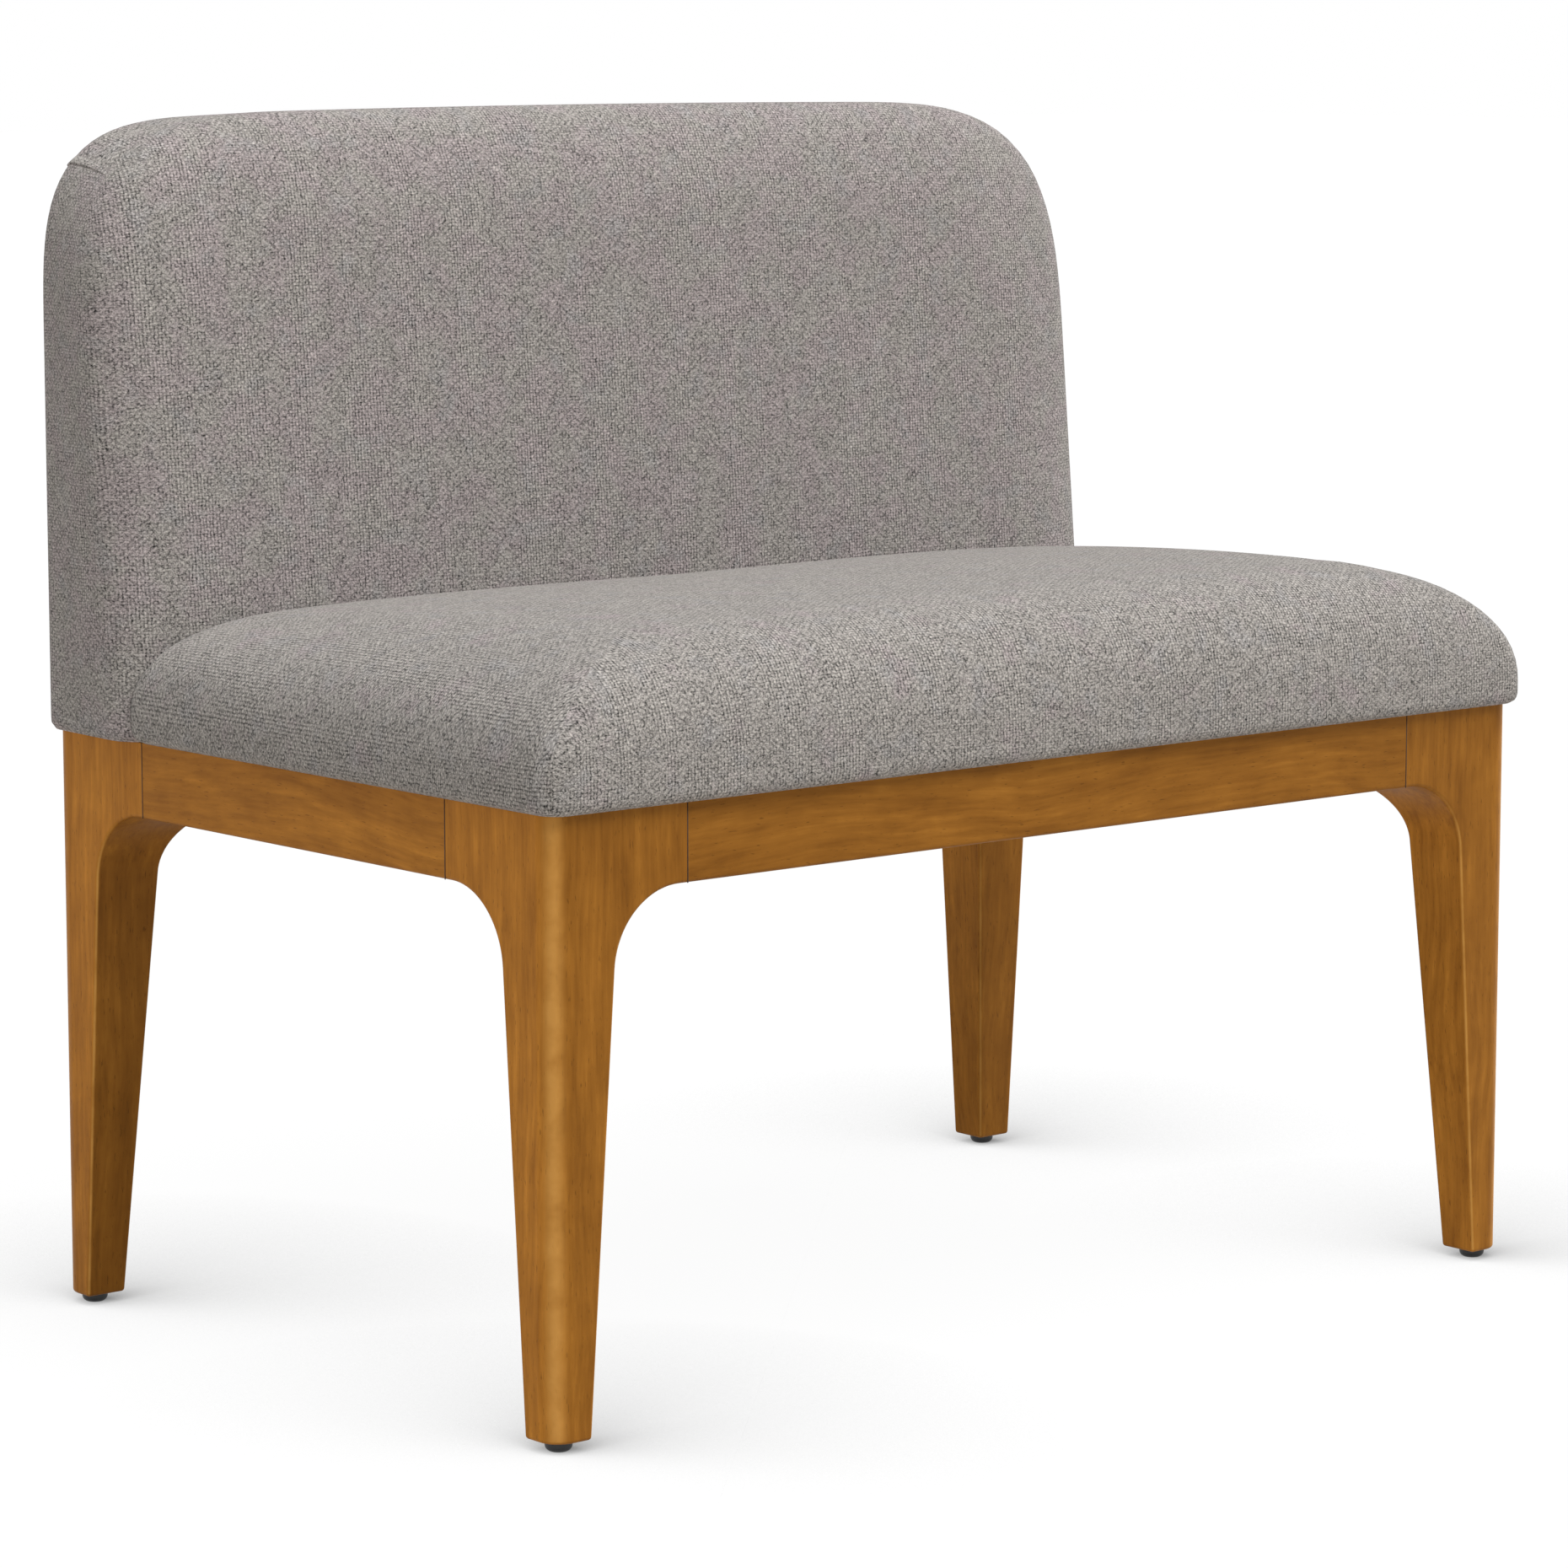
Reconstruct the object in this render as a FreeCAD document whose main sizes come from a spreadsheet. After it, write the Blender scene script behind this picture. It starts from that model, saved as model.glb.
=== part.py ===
import FreeCAD, Part
import math
import os
import Sketcher
from FreeCAD import Placement, Rotation, Vector

# Armless banquette: a tight upholstered seat and back on a hardwood frame with shaped corner legs.
# Millimetres. +Z up, the sitter faces -Y, +X runs to the right as seen from the front.
# The origin is on the floor under the middle of the overall box.

SIZES = [
    # Hardwood frame
    ("frame_width", 880, "across the outer faces of the legs"),
    ("frame_depth", 566, "front to back across the outer faces of the legs"),
    ("frame_top", 410, "floor to the top of the aprons"),
    ("apron_height", 52.5, "depth of an apron and of the ears beside it"),
    ("apron_thick", 24, "thickness of an apron and of the ears beside it"),
    ("corner_reach", 110, "outer corner to the joint line between ear and apron"),
    ("ear_radius", 53, "curve between a leg and the block at its top"),
    ("block_rim", 12.5, "block at the top of a leg, above the underside of the aprons"),
    ("block_bevel", 30, "inner corner of that block, cut off"),
    ("leg_width", 55, "leg where it meets the underside of the aprons"),
    ("foot_width", 31, "leg at its foot"),
    ("leg_lift", 7, "floor to the foot of a leg"),
    ("corner_round", 16, "outer corner of a leg"),
    ("edge_ease", 2.5, "softened arrises of legs and aprons"),
    ("joint_ease", 0.5, "bevel on both sides of a joint line"),
    ("dowel_diameter", 10, "apron dowels"),
    ("dowel_length", 50, "apron dowels"),
    ("dowel_spacing", 26, "between the two dowels of a joint"),
    ("glue_gap", 0.1, "room around a dowel, insert or screw in its hole"),
    ("end_room", 1, "room past the end of a dowel or screw"),
    # Braces and battens inside the frame
    ("brace_width", 36, "corner brace, along the apron"),
    ("brace_gap", 2, "corner brace to the inner corner of the leg, and room beside its screw"),
    ("batten_width", 20, "battens inside the aprons"),
    ("side_batten_height", 20, "battens of the side aprons"),
    ("rear_batten_height", 40, "batten of the rear apron"),
    ("batten_end_gap", 4, "batten to the brace beside it"),
    ("screw_diameter", 5, "wood screws"),
    ("screw_head", 9, "wood screw heads"),
    ("screw_head_height", 3, "wood screw heads"),
    ("screw_bite", 15, "depth of a screw in its far piece"),
    ("batten_screw_spacing", 100, "between the seat screws of a side batten"),
    # Screw-in levelling glides
    ("stud_diameter", 8, "threaded stud"),
    ("stud_length", 32, "threaded stud above its glide"),
    ("stud_socket", 3, "stud inside its glide"),
    ("insert_diameter", 12, "threaded insert in a foot"),
    ("insert_length", 25, "threaded insert in a foot"),
    ("glide_diameter", 18, "glide at its widest"),
    ("glide_flat", 11, "flat underside of a glide"),
    ("glide_curve", 4.4, "height of the rounded side of a glide"),
    ("run_gap", 0.3, "room around and above what turns"),
    # Upholstery layers
    ("cover_thick", 1.6, "woven cover"),
    ("wadding_thick", 6, "polyester wadding"),
    ("layer_gap", 0.3, "between layers"),
    ("crease_gap", 0.5, "between the seat and the back"),
    ("flap_reach", 26, "cover turned under, from its outer edge"),
    ("dust_thick", 1, "dust cover"),
    # Seat
    ("seat_overhang", 6, "seat past the frame, each side"),
    ("front_overhang", 8, "seat past the frame, front"),
    ("seat_tuck", 6, "cover drawn in at its lower edge"),
    ("tuck_height", 9, "height of that drawing in"),
    ("seat_bulge", 16, "frame top to the widest line of the seat"),
    ("seat_rise", 77, "widest line to the end of the shoulder"),
    ("seat_crown", 14, "crown above the shoulders"),
    ("side_shoulder", 114, "width of the rounded shoulder at a side"),
    ("front_shoulder", 76, "width of the rounded shoulder at the front"),
    ("side_fullness", 2.1, "exponent of the side shoulder"),
    ("front_fullness", 2.6, "exponent of the front shoulder"),
    ("plan_round", 16, "front corner of the seat, in plan"),
    ("round_growth", 0.2, "growth of that corner with the shoulder"),
    ("seat_fall", 2.7, "slope of the seat top down to the back, degrees"),
    ("crease_lap", 11, "seat ends carried round the edge of the back"),
    ("rail_thick", 22, "rails of the seat frame and base rail of the back"),
    ("rail_width", 80, "rails of the seat frame"),
    ("webbing_width", 50, "elastic webbing"),
    ("webbing_thick", 1.5, "elastic webbing"),
    ("webbing_pitch", 84, "webbing strips, middle to middle"),
    # Back
    ("back_overhang", 8, "back past the frame, each side"),
    ("rear_overhang", 2, "back past the frame, rear"),
    ("back_top", 838, "floor to the top of the back"),
    ("back_depth", 127, "back at its lower edge, front to rear"),
    ("back_lean", 5.2, "lean of the front of the back, degrees"),
    ("back_corner", 106, "top corners of the back, seen from the front"),
    ("back_shoulder", 80, "width of the rounded shoulder round the front of the back"),
    ("back_swell", 40, "depth of that shoulder"),
    ("back_fullness", 2.4, "exponent of that shoulder"),
    ("back_rear_edge", 12, "rounding of the rear edge of the back"),
    ("back_foot_round", 8, "lower corners of the back, seen from the front"),
    ("rear_margin", 20, "cover turned over the rear, to the panel's seam"),
    ("seam_gap", 0.6, "outside back panel to the cover around it"),
    ("base_rail_depth", 92, "base rail of the back, front to rear"),
    ("post_width", 50, "posts of the back"),
    ("post_depth", 28, "posts and rails of the back, front to rear"),
    ("top_rail_height", 60, "top rail of the back"),
    ("middle_rail_height", 50, "middle rail of the back"),
    ("peg_diameter", 8, "dowels of the seat and back frames"),
    ("peg_length", 36, "dowels of the seat and back frames"),
    ("peg_spacing", 26, "between the two dowels of a frame joint"),
    ("bolt_diameter", 8, "bolts that hold the back"),
    ("bolt_head", 13, "bolt heads"),
    ("bolt_head_height", 5, "bolt heads"),
    ("bolt_spacing", 170, "between bolts"),
    ("washer_diameter", 20, "washers under the bolt heads"),
    ("washer_thick", 1.6, "washers under the bolt heads"),
    ("nut_barrel", 11, "barrel of a tee nut"),
    ("nut_barrel_length", 12, "barrel of a tee nut"),
    ("nut_flange", 22, "flange of a tee nut"),
    ("nut_flange_thick", 2, "flange of a tee nut"),
]

# Steps of the lofts of the soft forms
TUCK_STEPS = 3
SHOULDER_STEPS = 9
CROWN_STEPS = 3
CROWN_SHARE = 0.5
CROWN_POWER = 4
EDGE_STEPS = 4

BOLTS = 4
SIDES = {"left": -1, "right": 1}
ENDS = {"front": -1, "rear": 1}
LIE = {"x": Rotation(Vector(0, 1, 0), 90), "y": Rotation(Vector(1, 0, 0), -90), "z": Rotation()}
TOLERANCE = 1e-4

doc = FreeCAD.newDocument("Banquette")
sheet = doc.addObject("Spreadsheet::Sheet", "Sizes")
for row, (alias, amount, note) in enumerate(SIZES, 1):
    sheet.set(f"A{row}", alias)
    sheet.set(f"B{row}", str(amount))
    sheet.set(f"C{row}", note)
    sheet.setAlias(f"B{row}", alias)
doc.recompute()

parts = {}
screws = []
screw_holes = {}
bolt_holes = []
barrel_holes = []


class Size:
    """A number worked out from the sheet, kept as an expression that features can be bound to."""

    def __init__(self, expression):
        self.expression = expression

    def __float__(self):
        return float(sheet.evalExpression(self.expression))

    def __add__(self, other):
        return Size(f"({self.expression} + {text(other)})")

    def __radd__(self, other):
        return Size(f"({text(other)} + {self.expression})")

    def __sub__(self, other):
        return Size(f"({self.expression} - {text(other)})")

    def __rsub__(self, other):
        return Size(f"({text(other)} - {self.expression})")

    def __mul__(self, other):
        return Size(f"({self.expression} * {text(other)})")

    __rmul__ = __mul__

    def __truediv__(self, other):
        return Size(f"({self.expression} / {text(other)})")

    def __neg__(self):
        return Size(f"(-1 * {self.expression})")


def text(value):
    """Expression of a Size or a plain number."""
    return value.expression if isinstance(value, Size) else repr(value)


def size(alias):
    return Size(f"Sizes.{alias}")


def function(name, value):
    return Size(f"{name}({text(value)})")


# Places that several pieces share
frame_top = size("frame_top")
half_width = size("frame_width") / 2
frame_middle = (size("front_overhang") - size("rear_overhang")) / 2
half_depth = size("frame_depth") / 2
apron_thick = size("apron_thick")
apron_under = frame_top - size("apron_height")
apron_middle = frame_top - size("apron_height") / 2
corner_reach = size("corner_reach")
leg_lift = size("leg_lift")
leg_taper = (size("leg_width") - size("foot_width")) / (apron_under - leg_lift)
leg_top_width = size("leg_width") + leg_taper * size("apron_height")
block_top = apron_under + size("block_rim")
brace_gap = size("brace_gap")
brace_screw = apron_thick + brace_gap + size("screw_head") / 2
past_block = corner_reach + brace_gap + size("screw_head") / 2 + brace_screw
past_leg = 2 * leg_top_width + brace_gap + size("brace_width") / 2
brace_line = Size(f"max({past_block.expression}; {past_leg.expression})")
brace_start = brace_line - apron_thick - size("brace_width") / 2
brace_end = brace_start + size("brace_width")
batten_centre = apron_thick + size("batten_width") / 2
batten_start = brace_end + size("batten_end_gap")

cover_thick = size("cover_thick")
layers = cover_thick + size("layer_gap") + size("wadding_thick") + size("layer_gap")
seat_half = half_width + size("seat_overhang")
seat_front = frame_middle - half_depth - size("front_overhang")
back_half = half_width + size("back_overhang")
back_rear = frame_middle + half_depth + size("rear_overhang")
back_front = back_rear - size("back_depth")
lean = function("tan", size("back_lean"))
rail_under = frame_top + cover_thick
rail_top = rail_under + size("rail_thick")
beyond = size("back_top") + size("frame_width")


def across(side, inward):
    """X of a line at a distance inside the outer face of the left or right legs."""
    return SIDES[side] * (half_width - inward)


def along(end, inward):
    """Y of a line at a distance inside the outer face of the front or rear legs."""
    return frame_middle + ENDS[end] * (half_depth - inward)


def bind(thing, **values):
    for name, value in values.items():
        thing.setExpression(name, text(value))


def place(thing, x, y, z, turn=None):
    """Put an object at a bound position, turned by a fixed rotation."""
    if turn:
        thing.Placement = Placement(Vector(), turn)
    for axis, value in zip("xyz", (x, y, z)):
        thing.setExpression(f"Placement.Base.{axis}", text(value))
    return thing


def keep(label, thing):
    """Name an object as one of the sub-parts."""
    thing.Label = label
    parts[label] = thing
    return thing


def board(name, low, high):
    """Box between two corners."""
    box = doc.addObject("Part::Box", name)
    bind(box, Length=high[0] - low[0], Width=high[1] - low[1], Height=high[2] - low[2])
    return place(box, *low)


def rod(name, diameter, length, start, axis="z"):
    """Cylinder from a start point along an axis."""
    cylinder = doc.addObject("Part::Cylinder", name)
    bind(cylinder, Radius=diameter / 2, Height=length)
    return place(cylinder, *start, turn=LIE[axis])


def group(name, things):
    compound = doc.addObject("Part::Compound", name)
    compound.Links = things
    return compound


def joined(name, things):
    fuse = doc.addObject("Part::MultiFuse", name)
    fuse.Shapes = things
    return fuse


def cut(name, base, tools):
    """Base with the tools taken out of it."""
    result = doc.addObject("Part::Cut", name)
    result.Base = base
    result.Tool = tools[0] if len(tools) == 1 else group(name + "_tools", tools)
    return result


def peg(pegs, name, diameter, length, centre, axis):
    """Add a dowel about a centre to a list, and return the hole that takes it."""
    room = size("end_room")
    step = {"x": (1, 0, 0), "y": (0, 1, 0), "z": (0, 0, 1)}[axis]
    start = [c - s * (length / 2) for c, s in zip(centre, step)]
    deeper = [c - s * room for c, s in zip(start, step)]
    pegs.append(rod(name, diameter, length, start, axis))
    return rod(name + "_hole", diameter + 2 * size("glue_gap"), length + 2 * room, deeper, axis)


def sketch(body, name, plane, corners, arcs=None, offset=0):
    """Closed outline in a body, each corner bound to the sheet.

    arcs gives, for the number of a side, the radius and the middle point of an arc in its place.
    """
    drawing = body.newObject("Sketcher::SketchObject", name)
    support = [feature for feature in body.Origin.OriginFeatures if feature.Role == plane][0]
    drawing.AttachmentSupport = [(support, "")]
    drawing.MapMode = "FlatFace"
    drawing.setExpression("AttachmentOffset.Base.z", text(offset))
    arcs = arcs or {}
    points = [Vector(float(u), float(v), 0) for u, v in corners]
    first = []
    last = []
    for number, start in enumerate(points):
        end = points[(number + 1) % len(points)]
        clockwise = False
        if number in arcs:
            middle = Vector(*[float(value) for value in arcs[number][1]], 0)
            clockwise = (middle - start).cross(end - middle).z < 0
            drawing.addGeometry(Part.Arc(start, middle, end))
        else:
            drawing.addGeometry(Part.LineSegment(start, end))
        first.append(2 if clockwise else 1)
        last.append(1 if clockwise else 2)
    for number in range(len(points)):
        after = (number + 1) % len(points)
        drawing.addConstraint(Sketcher.Constraint("Coincident", number, last[number], after, first[after]))
    for number, corner in enumerate(corners):
        for direction, value, axis in zip(("DistanceX", "DistanceY"), corner, (-2, -1)):
            at = (number, first[number])
            if isinstance(value, Size):
                dimension = Sketcher.Constraint(direction, -1, 1, *at, float(value))
                index = drawing.addConstraint(dimension)
                drawing.setExpression(f"Constraints[{index}]", text(value))
            else:
                drawing.addConstraint(Sketcher.Constraint("PointOnObject", *at, axis))
    for number, (radius, _) in arcs.items():
        index = drawing.addConstraint(Sketcher.Constraint("Radius", number, float(radius)))
        drawing.setExpression(f"Constraints[{index}]", text(radius))
    return drawing


def pad(body, name, profile, length, reverse=False):
    feature = body.newObject("PartDesign::Pad", name)
    feature.Profile = profile
    feature.Reversed = reverse
    bind(feature, Length=length)
    return feature


def pocket(body, name, profile):
    """Cut an outline through all that lies before its plane."""
    feature = body.newObject("PartDesign::Pocket", name)
    feature.Profile = profile
    feature.Type = "ThroughAll"
    feature.Reversed = True
    return feature


def dress(body, kind, name, test, **values):
    """Fillet or chamfer on the edges of the body's tip that pass a test."""
    doc.recompute()
    base = body.Tip
    edges = [f"Edge{n}" for n, edge in enumerate(base.Shape.Edges, 1) if test(edge.BoundBox)]
    feature = body.newObject(f"PartDesign::{kind}", name)
    feature.Base = (base, edges)
    bind(feature, **values)
    return feature


def near(value, target):
    return abs(value - target) < TOLERANCE


def leg(label, turn, x, y):
    """Corner leg that curves out both ways into a block, with an ear along each apron above it.

    It is drawn from its outer corner towards +X and +Y.
    """
    body = doc.addObject("PartDesign::Body", label + "_blank")
    foot = size("foot_width")
    radius = size("ear_radius")
    slant = function("sqrt", 1 + leg_taper * leg_taper)
    lean_sine = leg_taper / slant
    curve_centre = size("leg_width") + radius * (1 - lean_sine) * slant
    curve_foot = apron_under - radius * (1 - lean_sine)
    curve_side = curve_centre - radius / slant
    middle_turn = (90 - function("atan", leg_taper) / Size("1deg")) / 2
    curve_middle = (
        curve_centre - radius * function("sin", middle_turn),
        apron_under - radius + radius * function("cos", middle_turn),
    )

    blank = [(0, leg_lift), (foot, leg_lift), (leg_top_width, frame_top), (0, frame_top)]
    pad(body, label + "_post", sketch(body, label + "_front", "XZ_Plane", blank), leg_top_width, True)
    waste = [(foot, leg_lift), (leg_top_width, leg_lift), (leg_top_width, frame_top)]
    pocket(body, label + "_taper", sketch(body, label + "_side", "YZ_Plane", waste))

    outline = [
        (0, curve_foot),
        (curve_side, curve_foot),
        (curve_centre, apron_under),
        (corner_reach, apron_under),
        (corner_reach, block_top),
        (0, block_top),
    ]
    profile = sketch(body, label + "_block_front", "XZ_Plane", outline, {1: (radius, curve_middle)})
    pad(body, label + "_block", profile, corner_reach, True)
    outside = 2 * corner_reach
    waste = [
        (curve_side, curve_foot),
        (curve_centre, apron_under),
        (outside, apron_under),
        (outside, leg_lift),
        (curve_side, leg_lift),
    ]
    profile = sketch(body, label + "_block_side", "YZ_Plane", waste, {0: (radius, curve_middle)})
    pocket(body, label + "_curve", profile)
    bevel = corner_reach - size("block_bevel")
    waste = [(bevel, corner_reach), (corner_reach, bevel), (outside, bevel), (outside, outside), (bevel, outside)]
    pocket(body, label + "_bevel", sketch(body, label + "_block_corner", "XY_Plane", waste))
    outline = [(0, apron_under), (corner_reach, apron_under), (corner_reach, frame_top), (0, frame_top)]
    for plane, reverse in (("XZ_Plane", True), ("YZ_Plane", False)):
        pad(body, f"{label}_{plane}_pad", sketch(body, f"{label}_{plane}_ear", plane, outline), apron_thick, reverse)

    top = float(frame_top)
    end = float(corner_reach)

    def outer_corner(box):
        return near(box.XMax, 0) and near(box.YMax, 0)

    def arris(box):
        on_face = near(box.YMax, 0) or near(box.XMax, 0)
        level = near(box.ZMin, top) or near(box.ZMax, float(leg_lift))
        upright = near(box.XLength, 0) and near(box.YLength, 0)
        return on_face and not (level or upright)

    def inner_corner(box):
        return near(box.XMin, float(foot)) and near(box.YMin, float(foot)) and box.ZLength > 1

    def foot_rim(box):
        return near(box.ZMax, float(leg_lift))

    def joint_line(box):
        return box.ZLength > 1 and ((near(box.XMin, end) and near(box.YMax, 0))
                                    or (near(box.YMin, end) and near(box.XMax, 0)))

    dress(body, "Fillet", label + "_corner", outer_corner, Radius=size("corner_round"))
    dress(body, "Chamfer", label + "_joint_lines", joint_line, Size=size("joint_ease"))
    dress(body, "Fillet", label + "_arrises", arris, Radius=size("edge_ease"))
    dress(body, "Fillet", label + "_inner_arris", inner_corner, Radius=size("edge_ease"))
    dress(body, "Fillet", label + "_foot_rim", foot_rim, Radius=size("edge_ease"))
    return place(body, x, y, 0, turn)


def apron(label, length, x, y, turn):
    """Straight apron, drawn along X with its outer face at Y = 0, then turned into place."""
    body = doc.addObject("PartDesign::Body", label + "_blank")
    section = [(0, apron_under), (apron_thick, apron_under), (apron_thick, frame_top), (0, frame_top)]
    profile = sketch(body, label + "_section", "YZ_Plane", section)
    pad(body, label + "_length", profile, length)

    def lower_edge(box):
        return near(box.ZMax, float(apron_under)) and box.XLength > 1 and near(box.YMax, 0)

    def end_edge(box):
        return box.ZLength > 1 and near(box.YMax, 0) and near(box.XLength, 0)

    dress(body, "Chamfer", label + "_joint_lines", end_edge, Size=size("joint_ease"))
    dress(body, "Fillet", label + "_arris", lower_edge, Radius=size("edge_ease"))
    return place(body, x, y, 0, turn)


def turned(degrees):
    return Rotation(Vector(0, 0, 1), degrees)


def wood_frame():
    """Four legs and four aprons on dowels, with braces and battens inside."""
    dowels = []
    holes = {}
    diameter = size("dowel_diameter")
    length = size("dowel_length")
    for side in SIDES:
        for end in ENDS:
            for level in (-1, 1):
                height = apron_middle + level * size("dowel_spacing") / 2
                name = f"dowel_{end}_{side}_{level + 2}"
                centre = (across(side, corner_reach), along(end, apron_thick / 2), height)
                hole = peg(dowels, name + "_x", diameter, length, centre, "x")
                holes.setdefault(("leg", end, side), []).append(hole)
                holes.setdefault(("apron", end), []).append(hole)
                centre = (across(side, apron_thick / 2), along(end, corner_reach), height)
                hole = peg(dowels, name + "_y", diameter, length, centre, "y")
                holes.setdefault(("leg", end, side), []).append(hole)
                holes.setdefault(("apron", side), []).append(hole)
    keep("apron_dowels", group("apron_dowels", dowels))

    quarter = {("front", "left"): 0, ("front", "right"): 90, ("rear", "right"): 180, ("rear", "left"): 270}
    foot_middle = size("foot_width") / 2
    bore_depth = size("stud_length") + size("end_room") + size("run_gap")
    for (end, side), degrees in quarter.items():
        label = f"leg_{end}_{side}"
        blank = leg(label, turned(degrees), across(side, 0), along(end, 0))
        start = (across(side, foot_middle), along(end, foot_middle), leg_lift)
        bore = rod(label + "_bore", size("insert_diameter") + 2 * size("glue_gap"), bore_depth, start)
        keep(label, cut(label, blank, holes["leg", end, side] + [bore]))

    front_length = size("frame_width") - 2 * corner_reach
    side_length = size("frame_depth") - 2 * corner_reach
    runs = {
        "front": (front_length, across("left", corner_reach), along("front", 0), 0),
        "right": (side_length, across("right", 0), along("front", corner_reach), 90),
        "rear": (front_length, across("right", corner_reach), along("rear", 0), 180),
        "left": (side_length, across("left", 0), along("rear", corner_reach), 270),
    }
    for place_name, (run, x, y, degrees) in runs.items():
        label = f"apron_{place_name}"
        blank = apron(label, run, x, y, turned(degrees))
        keep(label, cut(label, blank, holes["apron", place_name]))

    for (end, side), degrees in quarter.items():
        corner_brace(f"brace_{end}_{side}", end, side, turned(degrees))
    battens()


def corner_brace(label, end, side, turn):
    """Diagonal brace glued behind the ears, on the blocks of the legs, bored for the screw that goes up."""
    body = doc.addObject("PartDesign::Body", label + "_blank")
    outline = [
        (brace_start, apron_thick),
        (brace_end, apron_thick),
        (apron_thick, brace_end),
        (apron_thick, brace_start),
    ]
    profile = sketch(body, label + "_outline", "XY_Plane", outline, offset=block_top)
    pad(body, label + "_height", profile, frame_top - block_top)
    place(body, across(side, 0), along(end, 0), 0, turn)
    hole = screw_hole(label, brace_point(end, side), block_top)
    keep(label, cut(label, body, [hole]))


def brace_point(end, side):
    """Place of a brace's screw, clear of the leg's block."""
    return across(side, brace_line - brace_screw), along(end, brace_screw)


def batten_points(side):
    """Places of the seat screws in a side batten, about the middle of the seat's side rail."""
    middle = (side_rail_front + side_rail_rear) / 2
    step = size("batten_screw_spacing") / 2
    return [(across(side, batten_centre), middle - step), (across(side, batten_centre), middle + step)]


def bolt_points():
    """Places of the back's bolts along the rear batten."""
    middle = (BOLTS - 1) / 2
    line = along("rear", batten_centre)
    return [(size("bolt_spacing") * (number - middle), line) for number in range(BOLTS)]


def screw_hole(label, point, lower):
    """Hole for one wood screw, from its head up to the end of its bite."""
    depth = rail_under - lower + size("screw_bite") + size("end_room")
    diameter = size("screw_diameter")
    head_height = size("screw_head_height")
    holes = screw_holes.setdefault(label, [])
    name = f"{label}_{len(holes) + 1}"
    hole = rod(f"{name}_hole", diameter + 2 * size("glue_gap"), depth, (*point, lower))
    shank = rod(f"{name}_shank", diameter, depth - size("end_room"), (*point, lower))
    head = rod(f"{name}_head", size("screw_head"), head_height, (*point, lower - head_height))
    screws.append(joined(f"{name}_screw", [shank, head]))
    holes.append(hole)
    return hole


def battens():
    """Battens inside the side and rear aprons, which the seat and the back are fastened through."""
    for side in SIDES:
        label = f"batten_{side}"
        lower = frame_top - size("side_batten_height")
        inner = apron_thick + size("batten_width")
        edges = sorted([across(side, apron_thick), across(side, inner)], key=float)
        low = (edges[0], along("front", batten_start), lower)
        high = (edges[1], along("rear", batten_start), frame_top)
        blank = board(label + "_blank", low, high)
        holes = [screw_hole(label, point, lower) for point in batten_points(side)]
        keep(label, cut(label, blank, holes))
    lower = frame_top - size("rear_batten_height")
    low = (across("left", batten_start), along("rear", apron_thick + size("batten_width")), lower)
    high = (across("right", batten_start), along("rear", apron_thick), frame_top)
    blank = board("batten_rear_blank", low, high)
    keep("batten_rear", cut("batten_rear", blank, back_bolts(lower)))


def back_bolts(lower):
    """Bolts up through the rear batten into tee nuts on the base rail, and the holes that take them."""
    bolts = []
    washers = []
    nuts = []
    holes = []
    gap = 2 * size("glue_gap")
    diameter = size("bolt_diameter")
    washer = size("washer_thick")
    nut_top = rail_top + size("nut_flange_thick")
    for number, (x, y) in enumerate(bolt_points(), 1):
        under = lower - washer
        shank = rod(f"bolt_shank_{number}", diameter, nut_top - under, (x, y, under))
        head = rod(f"bolt_head_{number}", size("bolt_head"), size("bolt_head_height"),
                   (x, y, under - size("bolt_head_height")))
        bolts.append(joined(f"bolt_{number}", [shank, head]))
        holes.append(rod(f"bolt_hole_{number}", diameter + gap, nut_top - under, (x, y, under)))
        ring = rod(f"washer_disc_{number}", size("washer_diameter"), washer, (x, y, under))
        washers.append(cut(f"washer_{number}", ring, [holes[-1]]))
        barrel_foot = (x, y, rail_top - size("nut_barrel_length"))
        barrel = rod(f"nut_barrel_{number}", size("nut_barrel"), size("nut_barrel_length"), barrel_foot)
        flange = rod(f"nut_flange_{number}", size("nut_flange"), size("nut_flange_thick"), (x, y, rail_top))
        nuts.append(cut(f"nut_{number}", joined(f"nut_blank_{number}", [barrel, flange]), [holes[-1]]))
        barrel_holes.append(rod(f"nut_hole_{number}", size("nut_barrel") + gap, size("nut_barrel_length"),
                                barrel_foot))
    keep("back_bolts", group("back_bolts", bolts))
    keep("back_washers", group("back_washers", washers))
    keep("back_tee_nuts", group("back_tee_nuts", nuts))
    bolt_holes.extend(holes)
    return holes


def glides():
    """Threaded insert in each foot, with a stud that screws in it and a glide on the stud."""
    inserts = []
    foot_middle = size("foot_width") / 2
    gap = size("run_gap")
    glide_top = leg_lift - gap
    stud_foot = glide_top - size("stud_socket")
    for end in ENDS:
        for side in SIDES:
            name = f"{end}_{side}"
            x = across(side, foot_middle)
            y = along(end, foot_middle)
            sleeve = rod("insert_blank_" + name, size("insert_diameter"), size("insert_length"),
                         (x, y, leg_lift))
            thread = rod("thread_room_" + name, size("stud_diameter") + 2 * gap, frame_top,
                         (x, y, stud_foot - gap))
            inserts.append(cut("insert_" + name, sleeve, [thread]))
            stud = rod("stud_" + name, size("stud_diameter"), size("stud_length") + size("stud_socket"),
                       (x, y, stud_foot))
            keep("leveller_stud_" + name, stud)
            keep("glide_" + name, cut("glide_" + name, glide_disc(name, glide_top, x, y), [thread]))
    keep("leveller_inserts", group("leveller_inserts", inserts))


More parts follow.
